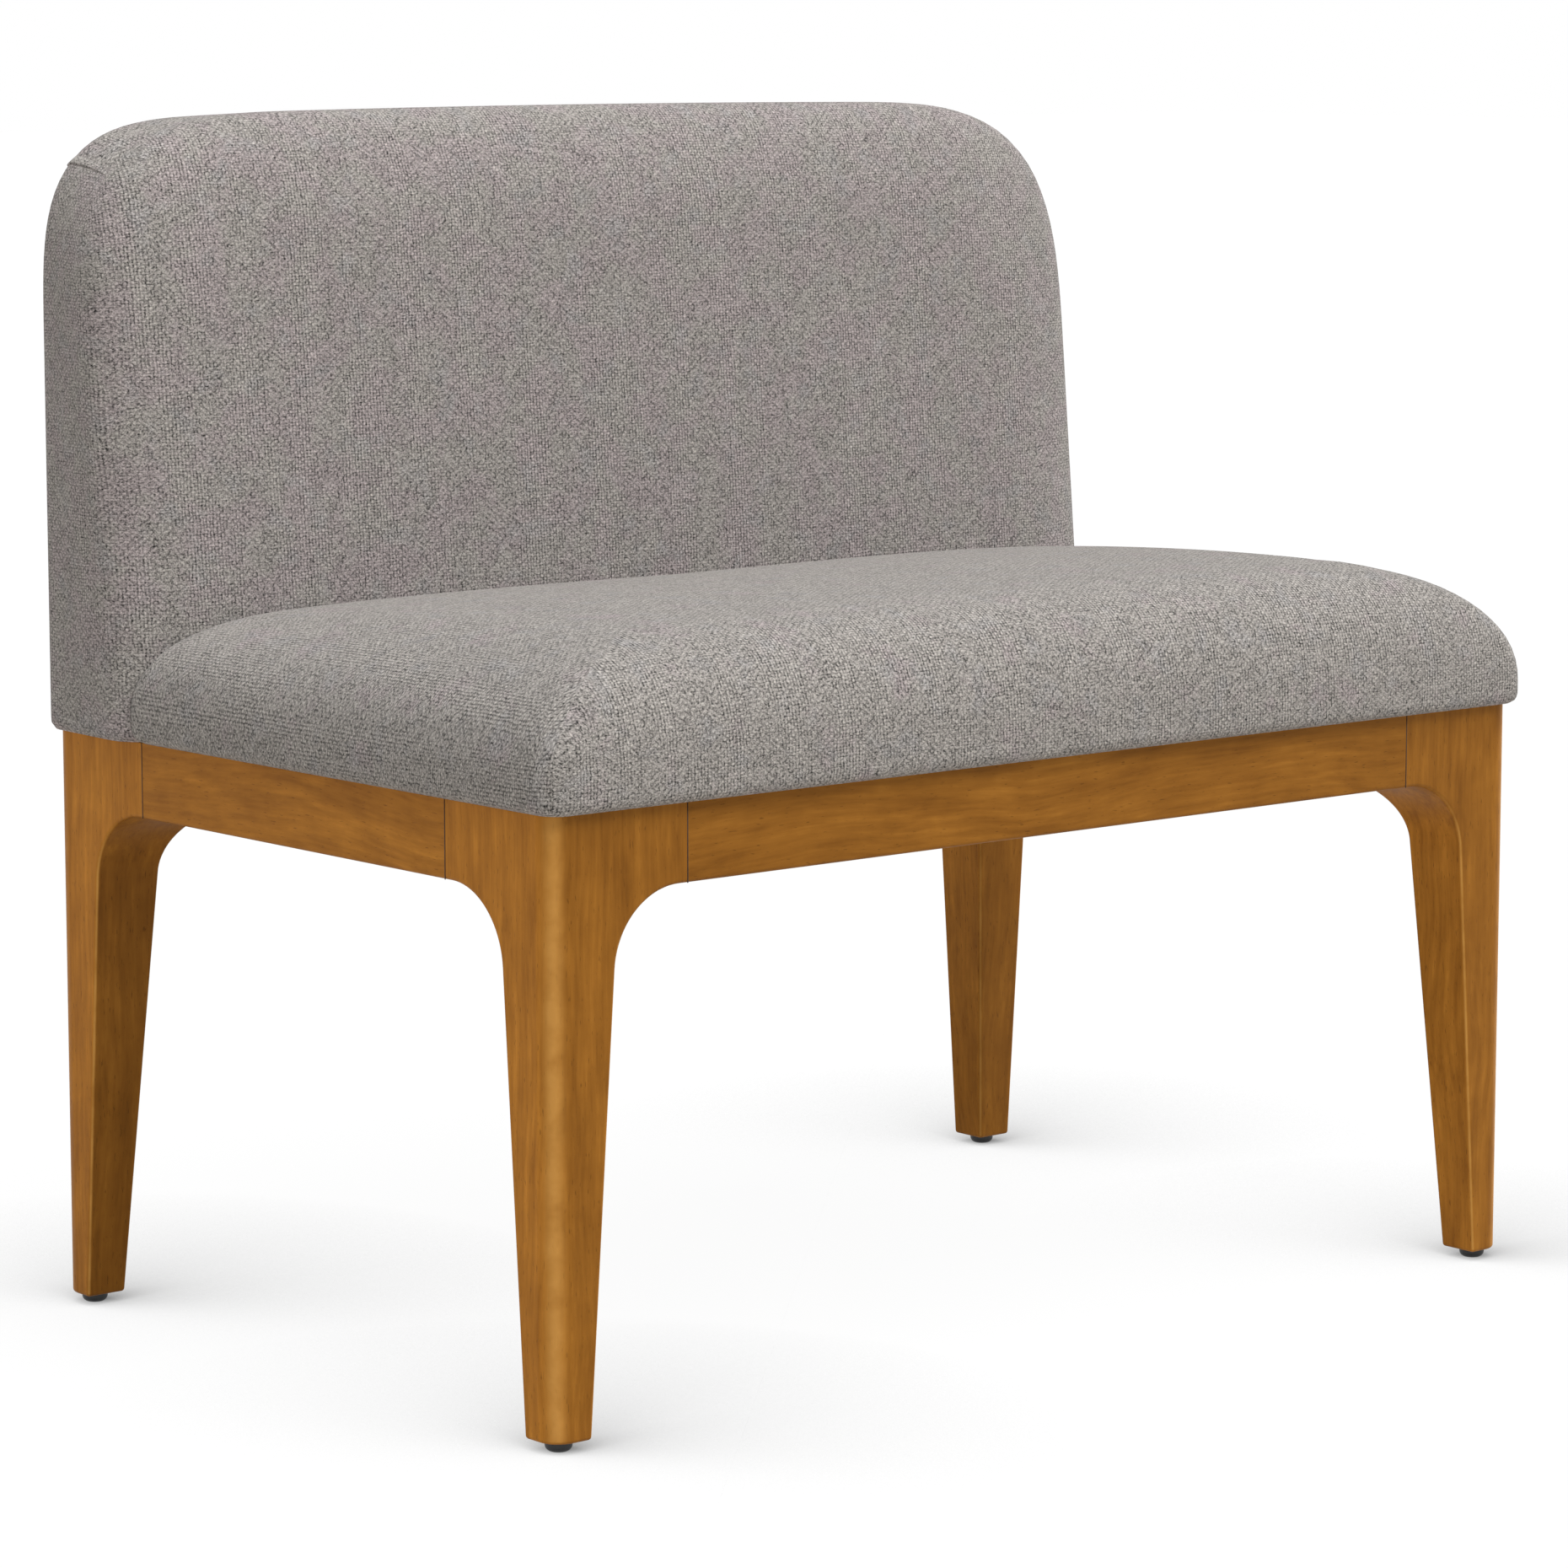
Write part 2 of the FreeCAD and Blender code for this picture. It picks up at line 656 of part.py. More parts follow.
def glide_disc(name, glide_top, x, y):
    """Round glide with a curved side, turned about its own axis."""
    body = doc.addObject("PartDesign::Body", "glide_blank_" + name)
    rim = size("glide_diameter") / 2
    flat = size("glide_flat") / 2
    curve = size("glide_curve")
    spread = rim - flat
    radius = (spread * spread + curve * curve) / (2 * spread)
    half_turn = function("asin", curve / radius) / 2
    middle = (
        rim - radius + radius * function("cos", half_turn),
        curve - radius * function("sin", half_turn),
    )
    outline = [(0, 0), (flat, 0), (rim, curve), (rim, glide_top), (0, glide_top)]
    profile = sketch(body, "glide_profile_" + name, "XZ_Plane", outline, {1: (radius, middle)})
    turning = body.newObject("PartDesign::Revolution", "glide_turning_" + name)
    turning.Profile = profile
    turning.ReferenceAxis = (profile, ["V_Axis"])
    turning.Angle = 360
    return place(body, x, y, 0)


# Seat frame, inside the layers of the upholstery
seat_rear = back_front - size("crease_gap") - layers
rail_side = seat_half - layers - size("seat_tuck")
rail_front = seat_front + layers + size("seat_tuck")
side_rail_front = rail_front + size("rail_width")
side_rail_rear = seat_rear - size("rail_width")


def seat_frame():
    """Flat rails on dowels, with webbing across and lengthwise on top."""
    pegs = []
    holes = {}
    width = size("rail_width")
    level = rail_under + size("rail_thick") / 2
    side_middle = rail_side - width / 2
    joints = {"left": -side_middle, "centre": 0, "right": side_middle}
    for rail, middle in joints.items():
        for end, y in (("front", side_rail_front), ("rear", side_rail_rear)):
            for step in (-1, 1):
                centre = (middle + step * size("peg_spacing") / 2, y, level)
                name = f"seat_peg_{rail}_{end}_{step + 2}"
                hole = peg(pegs, name, size("peg_diameter"), size("peg_length"), centre, "y")
                holes.setdefault(rail, []).append(hole)
                holes.setdefault(end, []).append(hole)
    keep("seat_frame_dowels", group("seat_frame_dowels", pegs))
    for side in SIDES:
        holes[side] = holes[side] + screw_holes[f"batten_{side}"]
        holes["front"] = holes["front"] + screw_holes[f"brace_front_{side}"]

    for end, low, high in (("front", rail_front, side_rail_front), ("rear", side_rail_rear, seat_rear)):
        blank = board(f"seat_rail_{end}_blank", (-rail_side, low, rail_under), (rail_side, high, rail_top))
        keep(f"seat_rail_{end}", cut(f"seat_rail_{end}", blank, holes[end]))
    for rail, middle in joints.items():
        low = (middle - width / 2, side_rail_front, rail_under)
        high = (middle + width / 2, side_rail_rear, rail_top)
        blank = board(f"seat_rail_{rail}_blank", low, high)
        keep(f"seat_rail_{rail}", cut(f"seat_rail_{rail}", blank, holes[rail]))
    seat_webbing()


def strips(label, count, pitch, middle, make):
    """Parallel webbing strips about a middle line."""
    made = []
    for number in range(count):
        line = middle + pitch * (number - (count - 1) / 2)
        reach = size("webbing_width") / 2
        made.append(make(f"{label}_{number + 1}", line - reach, line + reach))
    keep(label, group(label, made))


def strip_count(span):
    return max(1, int((float(span) - float(size("webbing_width"))) / float(size("webbing_pitch"))) + 1)


def seat_webbing():
    thick = size("webbing_thick")
    pitch = size("webbing_pitch")
    second = rail_top + thick
    depth_middle = (rail_front + seat_rear) / 2

    def crosswise(name, low, high):
        return board(name, (-rail_side, low, rail_top), (rail_side, high, second))

    def lengthwise(name, low, high):
        return board(name, (low, rail_front, second), (high, seat_rear, second + thick))

    strips("seat_webbing_across", strip_count(seat_rear - rail_front), pitch, depth_middle, crosswise)
    strips("seat_webbing_lengthwise", strip_count(2 * rail_side), pitch, 0, lengthwise)


def soft(label, shape):
    """Sub-part whose shape is a lofted form."""
    feature = doc.addObject("Part::Feature", label)
    feature.Shape = shape
    feature.Placement = Placement()
    return keep(label, feature)


def slab(low, high):
    """Plain block between two corners, for trimming lofted forms."""
    low = Vector(*[float(value) for value in low])
    span = Vector(*[float(value) for value in high]) - low
    return Part.makeBox(span.x, span.y, span.z, low)


def arc_mid(centre, radius, degrees):
    angle = math.radians(degrees)
    return centre[0] + radius * math.cos(angle), centre[1] + radius * math.sin(angle)


def seat_section(half, front, rear, radius, lift):
    """Plan outline of the seat at one level: straight sides and rear, round front corners."""
    right = half - radius
    back_of_corner = front + radius
    left_middle = arc_mid((-right, back_of_corner), radius, 225)
    right_middle = arc_mid((right, back_of_corner), radius, 315)
    outline = [(-right, front), (right, front), right_middle, (half, back_of_corner), (half, rear),
               (-half, rear), (-half, back_of_corner), left_middle]
    points = [Vector(x, y, lift(y)) for x, y in outline]
    a, b, b_mid, c, d, e, f, f_mid = points
    edges = [
        Part.LineSegment(a, b),
        Part.Arc(b, b_mid, c),
        Part.LineSegment(c, d),
        Part.LineSegment(d, e),
        Part.LineSegment(e, f),
        Part.Arc(f, f_mid, a),
    ]
    return Part.Wire([edge.toShape() for edge in edges])


def seat_form(inset, base, rear):
    """Seat drawn in by an inset: tucked lower edge, swelling sides, round shoulders and a crowned top."""
    half = float(seat_half) - inset
    front = float(seat_front) + inset
    base = float(base)
    bulge = float(frame_top + size("seat_bulge"))
    full = float(size("seat_rise") + size("seat_crown"))
    share = (full - inset) / full
    rise = float(size("seat_rise")) * share
    crown = float(size("seat_crown")) * share
    side_run = float(size("side_shoulder"))
    front_run = float(size("front_shoulder"))
    side_power = float(size("side_fullness"))
    front_power = float(size("front_fullness"))
    fall = math.tan(math.radians(float(size("seat_fall"))))

    levels = []
    for step in range(TUCK_STEPS):
        angle = math.radians(90 * (step / TUCK_STEPS - 1))
        draw = float(size("seat_tuck")) * (1 - math.cos(angle))
        levels.append((draw, draw, base + float(size("tuck_height")) * (1 + math.sin(angle)), 0))

    def shoulder(side):
        """Level of the form at a distance in from the side, with the front's distance at that level."""
        left = max(0, 1 - side / side_run)
        height = rise * (1 - left ** side_power) ** (1 / side_power)
        height += crown * (1 - (1 - side / half) ** CROWN_POWER)
        part = min(1, height / (rise + crown))
        ahead = front_run * (1 - (1 - part ** front_power) ** (1 / front_power))
        return side, ahead, bulge + height, part

    for step in range(SHOULDER_STEPS + 1):
        angle = math.radians(90 * step / SHOULDER_STEPS)
        levels.append(shoulder(side_run * (1 - math.cos(angle) ** (2 / side_power))))
    for step in range(1, CROWN_STEPS + 1):
        levels.append(shoulder(side_run + (half - side_run) * CROWN_SHARE * step / CROWN_STEPS))

    wires = []
    for side, ahead, height, part in levels:
        radius = float(size("plan_round")) + float(size("round_growth")) * side

        def lift(y, height=height, part=part):
            return height - (y - front) * fall * part

        wires.append(seat_section(half - side, front + ahead, float(rear), radius, lift))
    return Part.makeLoft(wires, True, True)


def behind(line):
    """Everything behind a plane parallel to the front of the back, line being its Y at the frame top."""
    reach = float(beyond)
    level = float(frame_top)
    depth = float(line)
    slant = reach * float(lean)
    corners = [
        Vector(-reach, depth - slant, level - reach),
        Vector(-reach, depth + slant, level + reach),
        Vector(-reach, depth + reach, level + reach),
        Vector(-reach, depth + reach, level - reach),
    ]
    face = Part.Face(Part.makePolygon(corners + corners[:1]))
    return face.extrude(Vector(2 * reach, 0, 0))


def seat_upholstery():
    """Cover, wadding, foam and dust cover of the seat."""
    gap = size("layer_gap")
    past = back_front + size("back_depth") / 2
    lining = float(cover_thick)
    wadding_out = float(cover_thick + gap)
    wadding_in = float(cover_thick + gap + size("wadding_thick"))
    foam_out = float(layers)
    back_face = back_front - size("crease_gap")
    flap = size("flap_reach")
    webbing_top = rail_top + 2 * size("webbing_thick")

    outer = seat_form(0, frame_top, past).cut(behind(back_front + size("crease_lap")))
    outer = outer.cut(back_form(-float(size("crease_gap"))))
    inner = seat_form(lining, rail_under, past).cut(behind(back_face - cover_thick))
    mouth = slab((-(seat_half - flap), seat_front + flap, frame_top - flap),
                 (seat_half - flap, back_face - flap, rail_under + gap))
    soft("seat_cover", outer.cut(inner).cut(mouth))

    padding = seat_form(wadding_out, rail_under, past).cut(behind(back_face - cover_thick - gap))
    hollow = seat_form(wadding_in, rail_under - flap, past).cut(behind(back_face - wadding_in))
    soft("seat_wadding", padding.cut(hollow))

    block = seat_form(foam_out, rail_under, past).cut(behind(back_face - foam_out))
    below = slab((-back_half, seat_front, frame_top - flap), (back_half, back_rear, webbing_top + gap))
    soft("seat_foam", block.cut(below))

    dust_low = frame_top + gap
    sheet_low = (-(seat_half - flap - gap), seat_front + flap + gap, dust_low)
    sheet_high = (seat_half - flap - gap, back_face - flap - gap, dust_low + size("dust_thick"))
    blank = board("dust_cover_blank", sheet_low, sheet_high)
    holes = []
    for side in SIDES:
        holes += screw_holes[f"batten_{side}"] + screw_holes[f"brace_front_{side}"]
    keep("dust_cover", cut("dust_cover", blank, holes))


def back_section(half, base, top, corner, foot, depth_at):
    """Outline of the back seen from the front, round at the top corners and eased at the bottom."""
    side = half - corner
    low_side = half - foot
    shoulder = top - corner
    ankle = base + foot
    outline = [
        (-low_side, base), (low_side, base), arc_mid((low_side, ankle), foot, 315), (half, ankle),
        (half, shoulder), arc_mid((side, shoulder), corner, 45), (side, top),
        (-side, top), arc_mid((-side, shoulder), corner, 135), (-half, shoulder),
        (-half, ankle), arc_mid((-low_side, ankle), foot, 225),
    ]
    a, b, b_mid, c, d, d_mid, e, f, f_mid, g, h, h_mid = [Vector(x, depth_at(z), z) for x, z in outline]
    edges = [
        Part.LineSegment(a, b),
        Part.Arc(b, b_mid, c),
        Part.LineSegment(c, d),
        Part.Arc(d, d_mid, e),
        Part.LineSegment(e, f),
        Part.Arc(f, f_mid, g),
        Part.LineSegment(g, h),
        Part.Arc(h, h_mid, a),
    ]
    return Part.Wire([edge.toShape() for edge in edges])


def back_form(inset):
    """Back drawn in by an inset: leaning front, round shoulder about it, upright rear."""
    half = float(back_half) - inset
    top = float(back_top) - inset
    base = float(frame_top) + inset
    rear = float(back_rear) - inset
    front = float(back_front) + inset
    slope = float(lean)
    corner = float(size("back_corner")) - inset
    run = float(size("back_shoulder")) - inset
    swell = float(size("back_swell")) - inset
    power = 2 / float(size("back_fullness"))
    rear_edge = max(float(size("back_rear_edge")) - inset, float(cover_thick))
    foot = max(float(size("back_foot_round")) - inset, float(cover_thick))

    def station(draw, depth_at):
        """Outline drawn in from the sides and the top."""
        return back_section(half - draw, base, top - draw, corner - draw, foot, depth_at)

    def from_front(depth):
        return lambda z: front + depth + (z - float(frame_top)) * slope

    def from_rear(depth):
        return lambda z: rear - depth

    wires = []
    for step in range(SHOULDER_STEPS + 1):
        angle = math.radians(90 * (1 - step / SHOULDER_STEPS))
        draw = run * (1 - math.cos(angle) ** power)
        wires.append(station(draw, from_front(swell * (1 - math.sin(angle) ** power))))
    for step in range(EDGE_STEPS + 1):
        angle = math.radians(90 * step / EDGE_STEPS)
        draw = rear_edge * (1 - math.cos(angle))
        wires.append(station(draw, from_rear(rear_edge * (1 - math.sin(angle)))))
    return Part.makeLoft(wires, True, True)


back_top = size("back_top")
frame_rear = back_rear - layers
frame_face = frame_rear - size("post_depth")
post_side = back_half - layers
post_top = back_top - size("back_corner")
crest = back_top - layers


def back_frame():
    """Base rail, posts, middle and top rails and rounded corner blocks, on dowels, with webbing."""
    pegs = []
    holes = {}
    width = size("post_width")
    depth_middle = frame_rear - size("post_depth") / 2
    spacing = size("peg_spacing") / 2
    corner_inner = back_half - size("back_corner")
    middle_level = (rail_top + post_top) / 2
    rail_level = crest - size("top_rail_height") / 2

    def join(first, second, name, centre, axis):
        hole = peg(pegs, f"back_peg_{name}", size("peg_diameter"), size("peg_length"), centre, axis)
        for piece in (first, second):
            holes.setdefault(piece, []).append(hole)

    for side, way in SIDES.items():
        post_middle = way * (post_side - width / 2)
        for step in (-1, 1):
            x = post_middle + step * spacing
            join("base", f"post_{side}", f"foot_{side}_{step + 2}", (x, depth_middle, rail_top), "z")
            join(f"post_{side}", f"corner_{side}", f"head_{side}_{step + 2}",
                 (x, depth_middle, post_top), "z")
            join("middle", f"post_{side}", f"middle_{side}_{step + 2}",
                 (way * (post_side - width), depth_middle, middle_level + step * size("peg_diameter")), "x")
            join("top", f"corner_{side}", f"top_{side}_{step + 2}",
                 (way * corner_inner, depth_middle, rail_level + step * spacing / 2), "x")
        holes["base"] = holes["base"] + screw_holes[f"brace_rear_{side}"]
    keep("back_frame_dowels", group("back_frame_dowels", pegs))

    keep("back_base_rail", cut("back_base_rail", base_rail(), holes["base"] + bolt_holes + barrel_holes))
    for side, way in SIDES.items():
        edges = sorted([way * post_side, way * (post_side - width)], key=float)
        low = (edges[0], frame_face, rail_top)
        high = (edges[1], frame_rear, post_top)
        blank = board(f"post_{side}_blank", low, high)
        keep(f"back_post_{side}", cut(f"back_post_{side}", blank, holes[f"post_{side}"]))
        keep(f"back_corner_{side}", cut(f"back_corner_{side}", corner_block(side), holes[f"corner_{side}"]))
    rails = (
        ("middle", post_side - width, middle_level, size("middle_rail_height")),
        ("top", corner_inner, rail_level, size("top_rail_height")),
    )
    for name, reach, level, height in rails:
        low = (-reach, frame_face, level - height / 2)
        high = (reach, frame_rear, level + height / 2)
        blank = board(f"{name}_rail_blank", low, high)
        keep(f"back_{name}_rail", cut(f"back_{name}_rail", blank, holes[name]))
    back_webbing()


def base_rail():
    """Rail under the back, its lower corners rounded inside the cover."""
    body = doc.addObject("PartDesign::Body", "base_rail_blank")
    length = 2 * post_side
    radius = size("back_foot_round")
    reach = radius / function("sqrt", 2)
    inner = rail_under + radius
    outline = [
        (radius, rail_under),
        (length - radius, rail_under),
        (length, inner),
        (length, rail_top),
        (0, rail_top),
        (0, inner),
    ]
    arcs = {
        1: (radius, (length - radius + reach, inner - reach)),
        5: (radius, (radius - reach, inner - reach)),
    }
    profile = sketch(body, "base_rail_outline", "XZ_Plane", outline, arcs)
    pad(body, "base_rail_depth", profile, size("base_rail_depth"))
    return place(body, -post_side, frame_rear, 0)


def corner_block(side):
    """Quarter-round block that carries the top corner of the back."""
    body = doc.addObject("PartDesign::Body", f"corner_block_{side}")
    radius = size("back_corner") - layers
    post = size("post_width")
    rail = size("top_rail_height")
    diagonal = radius / function("sqrt", 2)
    inner = radius - post
    lower = radius - rail
    outline = [(inner, 0), (radius, 0), (0, radius), (0, lower), (inner, lower)]
    arcs = {1: (radius, (diagonal, diagonal))}
    profile = sketch(body, f"corner_outline_{side}", "XZ_Plane", outline, arcs)
    pad(body, f"corner_depth_{side}", profile, size("post_depth"))
    if side == "right":
        return place(body, back_half - size("back_corner"), frame_rear, post_top)
    return place(body, size("back_corner") - back_half, frame_face, post_top, turned(180))


def back_webbing():
    face = frame_face - size("webbing_thick")

    def crosswise(name, low, high):
        return board(name, (-post_side, face, low), (post_side, frame_face, high))

    span = post_top - rail_top
    strips("back_webbing", strip_count(span), size("webbing_pitch"), (rail_top + post_top) / 2, crosswise)


def back_upholstery():
    """Cover, outside panel, wadding and foam of the back."""
    gap = size("layer_gap")
    lining = float(cover_thick)
    wadding_out = float(cover_thick + gap)
    wadding_in = float(cover_thick + gap + size("wadding_thick"))
    flap = size("flap_reach")
    base = float(frame_top)
    rear = float(back_rear)

    def panel_face(margin, y):
        corner = float(size("back_corner")) - margin
        wire = back_section(float(back_half) - margin, base + margin, float(back_top) - margin, corner,
                            float(size("back_foot_round")), lambda z: y)
        return Part.Face(wire)

    margin = float(size("rear_margin"))
    opening = panel_face(margin, rear - margin).extrude(Vector(0, 2 * margin, 0))
    mouth = slab((-(back_half - flap), back_front + flap, frame_top - flap),
                 (back_half - flap, back_rear - flap, rail_under + gap))
    soft("back_cover", back_form(0).cut(back_form(lining)).cut(opening).cut(mouth))

    panel_margin = margin + float(size("seam_gap"))
    soft("outside_back", panel_face(panel_margin, rear - lining).extrude(Vector(0, lining, 0)))

    def rear_of(line):
        return slab((-beyond, line, 0), (beyond, beyond, beyond))

    def under(level):
        return slab((-beyond, -beyond, 0), (beyond, beyond, level))

    padding = back_form(wadding_out).cut(back_form(wadding_in))
    padding = padding.cut(rear_of(frame_rear - size("back_rear_edge"))).cut(under(rail_top + gap))
    soft("back_wadding", padding)

    foam = back_form(float(layers)).cut(rear_of(frame_face - size("webbing_thick") - gap))
    soft("back_foam", foam.cut(under(rail_top + size("nut_flange_thick") + gap)))


def failures():
    """Every object that failed to build, and every sub-part that isn't a sound solid."""
    faults = [thing.Name for thing in doc.Objects if "Invalid" in thing.State or "Error" in thing.State]
    for label, thing in parts.items():
        if thing.Shape.isNull() or not thing.Shape.isValid() or not thing.Shape.Solids:
            faults.append(label)
    return faults


wood_frame()
glides()
seat_frame()
back_frame()
seat_upholstery()
back_upholstery()
keep("seat_and_back_screws", group("seat_and_back_screws", screws))
doc.recompute()

broken = failures()
if broken:
    raise RuntimeError("failed: " + ", ".join(broken))

os.makedirs("parts", exist_ok=True)
for label, thing in parts.items():
    thing.Shape.exportStep(f"parts/{label}.step")
print(len(parts), "sub-parts written")
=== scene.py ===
import math

import bmesh
import bpy
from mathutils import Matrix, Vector
from mathutils.bvhtree import BVHTree


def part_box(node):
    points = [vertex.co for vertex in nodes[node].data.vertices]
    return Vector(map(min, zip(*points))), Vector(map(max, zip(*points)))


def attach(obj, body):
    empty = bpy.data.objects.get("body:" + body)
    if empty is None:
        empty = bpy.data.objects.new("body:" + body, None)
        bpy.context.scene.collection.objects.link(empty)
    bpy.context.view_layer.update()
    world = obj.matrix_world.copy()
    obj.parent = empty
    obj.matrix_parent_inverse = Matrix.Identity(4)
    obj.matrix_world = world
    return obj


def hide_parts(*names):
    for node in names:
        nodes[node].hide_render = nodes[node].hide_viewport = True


# Looks of an armless banquette: woven covers over foam, stained hardwood, black levelling glides.
# Metres. +Z up, the sitter faces -Y, +X runs to the right as seen from the front.

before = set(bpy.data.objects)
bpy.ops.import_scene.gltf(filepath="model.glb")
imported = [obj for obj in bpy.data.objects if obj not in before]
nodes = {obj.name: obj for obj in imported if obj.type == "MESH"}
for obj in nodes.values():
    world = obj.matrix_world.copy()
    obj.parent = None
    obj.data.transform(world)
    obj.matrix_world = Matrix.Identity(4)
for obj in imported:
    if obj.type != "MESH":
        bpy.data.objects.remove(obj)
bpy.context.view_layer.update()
ROOT = "banquette"

# Camera, solved from the photograph
CAMERA_AT = (-2.5126, -2.9564, 0.9125)
CAMERA_YAW = -0.70182851
CAMERA_PITCH = math.radians(8.102)
LENS_MM = 126.30
SENSOR_MM = 36

# Seat
FRAME_TOP = 0.410
SEAT_HALF = 0.4477
SEAT_FRONT = 0.2896
SEAT_TUCK = 0.006
SEAT_TUCK_TOP = 0.419
SEAT_WIDEST = 0.426
SEAT_RISE = 0.0765
SEAT_CROWN = 0.014
SIDE_SHOULDER = 0.1144
SIDE_FULLNESS = 2.09
FRONT_SHOULDER = 0.0762
FRONT_FULLNESS = 2.61
PLAN_ROUND = 0.020
ROUND_GROWTH = 0.18
CREST_LINE = 0.1897
REAR_FALL = 0.0208
REAR_SIDE_LIFT = 0.0042
REAR_FILL = 0.040
CREST_TO_CREASE = 0.351
CREASE_ROLL = 0.004
CREASE_DROP = 0.009
CREASE_DRAW = 0.003
CREASE_GAP = 0.0028
FLAP_REACH = 0.026
FLAP_THICK = 0.003
FLAP_ROUND = 0.004
TUCK_STEPS = 4

# Back
BACK_HALF = 0.453
BACK_TOP = 0.838
BACK_REAR = 0.288
BACK_FRONT = 0.161
BACK_LEAN = math.tan(math.radians(5.2))
FRONT_CORNER = 0.205
REAR_CORNER = 0.151
CORNER_FULLNESS = 3.6
BACK_SHOULDER = 0.1045
TOP_SHOULDER = 0.090
SHOULDER_CORNER = (BACK_SHOULDER + TOP_SHOULDER) / 2
BACK_SWELL = 0.040
BACK_FULLNESS = 2.53
SIDE_DRAW = 0.0035
TOP_DROP = 0.0028
TOP_BOW = 0.0043
BACK_REAR_EDGE = 0.019
BACK_FOOT_ROUND = 0.008
BACK_FOOT_DRAW = 0.004
BACK_CROWN = 0.003
REAR_MARGIN = 0.024
SEAM_GAP = 0.0006
SEAM_DEPTH = 0.004
PANEL_PUFF = 0.0016
PANEL_ROLL = 0.004

# Points along a hoop of a cover, and hoops outwards and inwards from the edge of its middle
SIDE_STEPS = 60
CORNER_STEPS = 28
CORNER_SAMPLES = 600
ACROSS_STEPS = 116
RING_STEPS = 16
MIDDLE_HOOPS = 6
MIDDLE_REACH = 0.05
BORDER_STEPS = 8
REAR_EDGE_STEPS = 6
MITRE = SIDE_STEPS + CORNER_STEPS // 2
WELD = 1e-5

# Ways the weave lies on a face: straight over the sides, the far edge or the near end, or spread outwards
OVER_SIDE, OVER_FAR, OVER_NEAR, SPREAD = range(4)

# A Mix node's sockets for colours, by number because their names repeat
MIX_SHARE, MIX_FIRST, MIX_SECOND, MIX_COLOUR = 0, 6, 7, 2


class Value:
    """An output of a finish's nodes. Sums and products of values add Math nodes."""

    def __init__(self, finish, socket):
        self.finish = finish
        self.socket = socket

    def maths(self, operation, *terms):
        return self.finish.node("ShaderNodeMath", {"operation": operation}, dict(enumerate(terms)))

    def __add__(self, other):
        return self.maths("ADD", self, other)

    __radd__ = __add__

    def __sub__(self, other):
        return self.maths("SUBTRACT", self, other)

    def __rsub__(self, other):
        return self.maths("SUBTRACT", other, self)

    def __mul__(self, other):
        return self.maths("MULTIPLY", self, other)

    __rmul__ = __mul__

    def cosine(self):
        return self.maths("COSINE", self)

    def power(self, exponent):
        return self.maths("POWER", self, exponent)

    def between(self, low, high):
        """0 below low, 1 above high, smooth between."""
        settings = {"interpolation_type": "SMOOTHSTEP"}
        limits = {"Value": self, "From Min": low, "From Max": high}
        return self.finish.node("ShaderNodeMapRange", settings, limits)


class Finish:
    """A material, or the world, made of nodes."""

    def __init__(self, owner):
        self.owner = owner
        owner.use_nodes = True
        self.tree = owner.node_tree
        self.tree.nodes.clear()

    def node(self, kind, settings=None, inputs=None, output=0):
        made = self.tree.nodes.new(kind)
        for name, setting in (settings or {}).items():
            if name == "stops":
                stops = made.color_ramp.elements
                while len(stops) < len(setting):
                    stops.new(1.0)
                for stop, (place, colour) in zip(stops, setting):
                    stop.position = place
                    stop.color = (*colour, 1.0)
            else:
                setattr(made, name, setting)
        for name, value in (inputs or {}).items():
            if isinstance(value, Value):
                self.tree.links.new(value.socket, made.inputs[name])
            else:
                made.inputs[name].default_value = value
        return Value(self, made.outputs[output]) if made.outputs else made

    def spot(self):
        """Place on the object, in metres."""
        return self.node("ShaderNodeTexCoord", output="Object")

    def mixed(self, share, first, second, way="MIX"):
        """Colour between two others."""
        settings = {"data_type": "RGBA", "blend_type": way}
        inputs = {MIX_SHARE: share, MIX_FIRST: first, MIX_SECOND: second}
        return self.node("ShaderNodeMix", settings, inputs, MIX_COLOUR)

    def either(self, share, first, second):
        """Shader between two others."""
        return self.node("ShaderNodeMixShader", None, {0: share, 1: first, 2: second})

    def grey(self, value):
        return self.node("ShaderNodeCombineColor", None, dict.fromkeys(("Red", "Green", "Blue"), value))

    def along(self, axis, vector):
        """One coordinate of a vector."""
        return self.node("ShaderNodeSeparateXYZ", None, {"Vector": vector}, axis)

    def stretched(self, spot, scale):
        return self.node("ShaderNodeVectorMath", {"operation": "MULTIPLY"}, {0: spot, 1: scale})

    def shifted(self, spot, push, size):
        """spot moved by up to size, by a noise colour."""
        inputs = {0: push, 1: (size, size, size), 2: spot}
        return self.node("ShaderNodeVectorMath", {"operation": "MULTIPLY_ADD"}, inputs)

    def noise(self, spot, scale, detail=2.0, roughness=0.5, output=0):
        inputs = {"Vector": spot, "Scale": scale, "Detail": detail, "Roughness": roughness}
        return self.node("ShaderNodeTexNoise", None, inputs, output)

    def ramp(self, share, stops):
        return self.node("ShaderNodeValToRGB", {"stops": stops}, {"Fac": share})

    def bump(self, height, distance, strength, **under):
        inputs = {"Height": height, "Distance": distance, "Strength": strength, **under}
        return self.node("ShaderNodeBump", None, inputs)

    def surface(self, **sockets):
        """Principled surface, its sockets named with underscores for spaces."""
        named = {name.replace("_", " "): value for name, value in sockets.items()}
        self.finished("ShaderNodeOutputMaterial", self.node("ShaderNodeBsdfPrincipled", None, named))
        return self.owner

    def finished(self, kind, shader):
        self.node(kind, None, {"Surface": shader})


def finish(name):
    return Finish(bpy.data.materials.new(name))


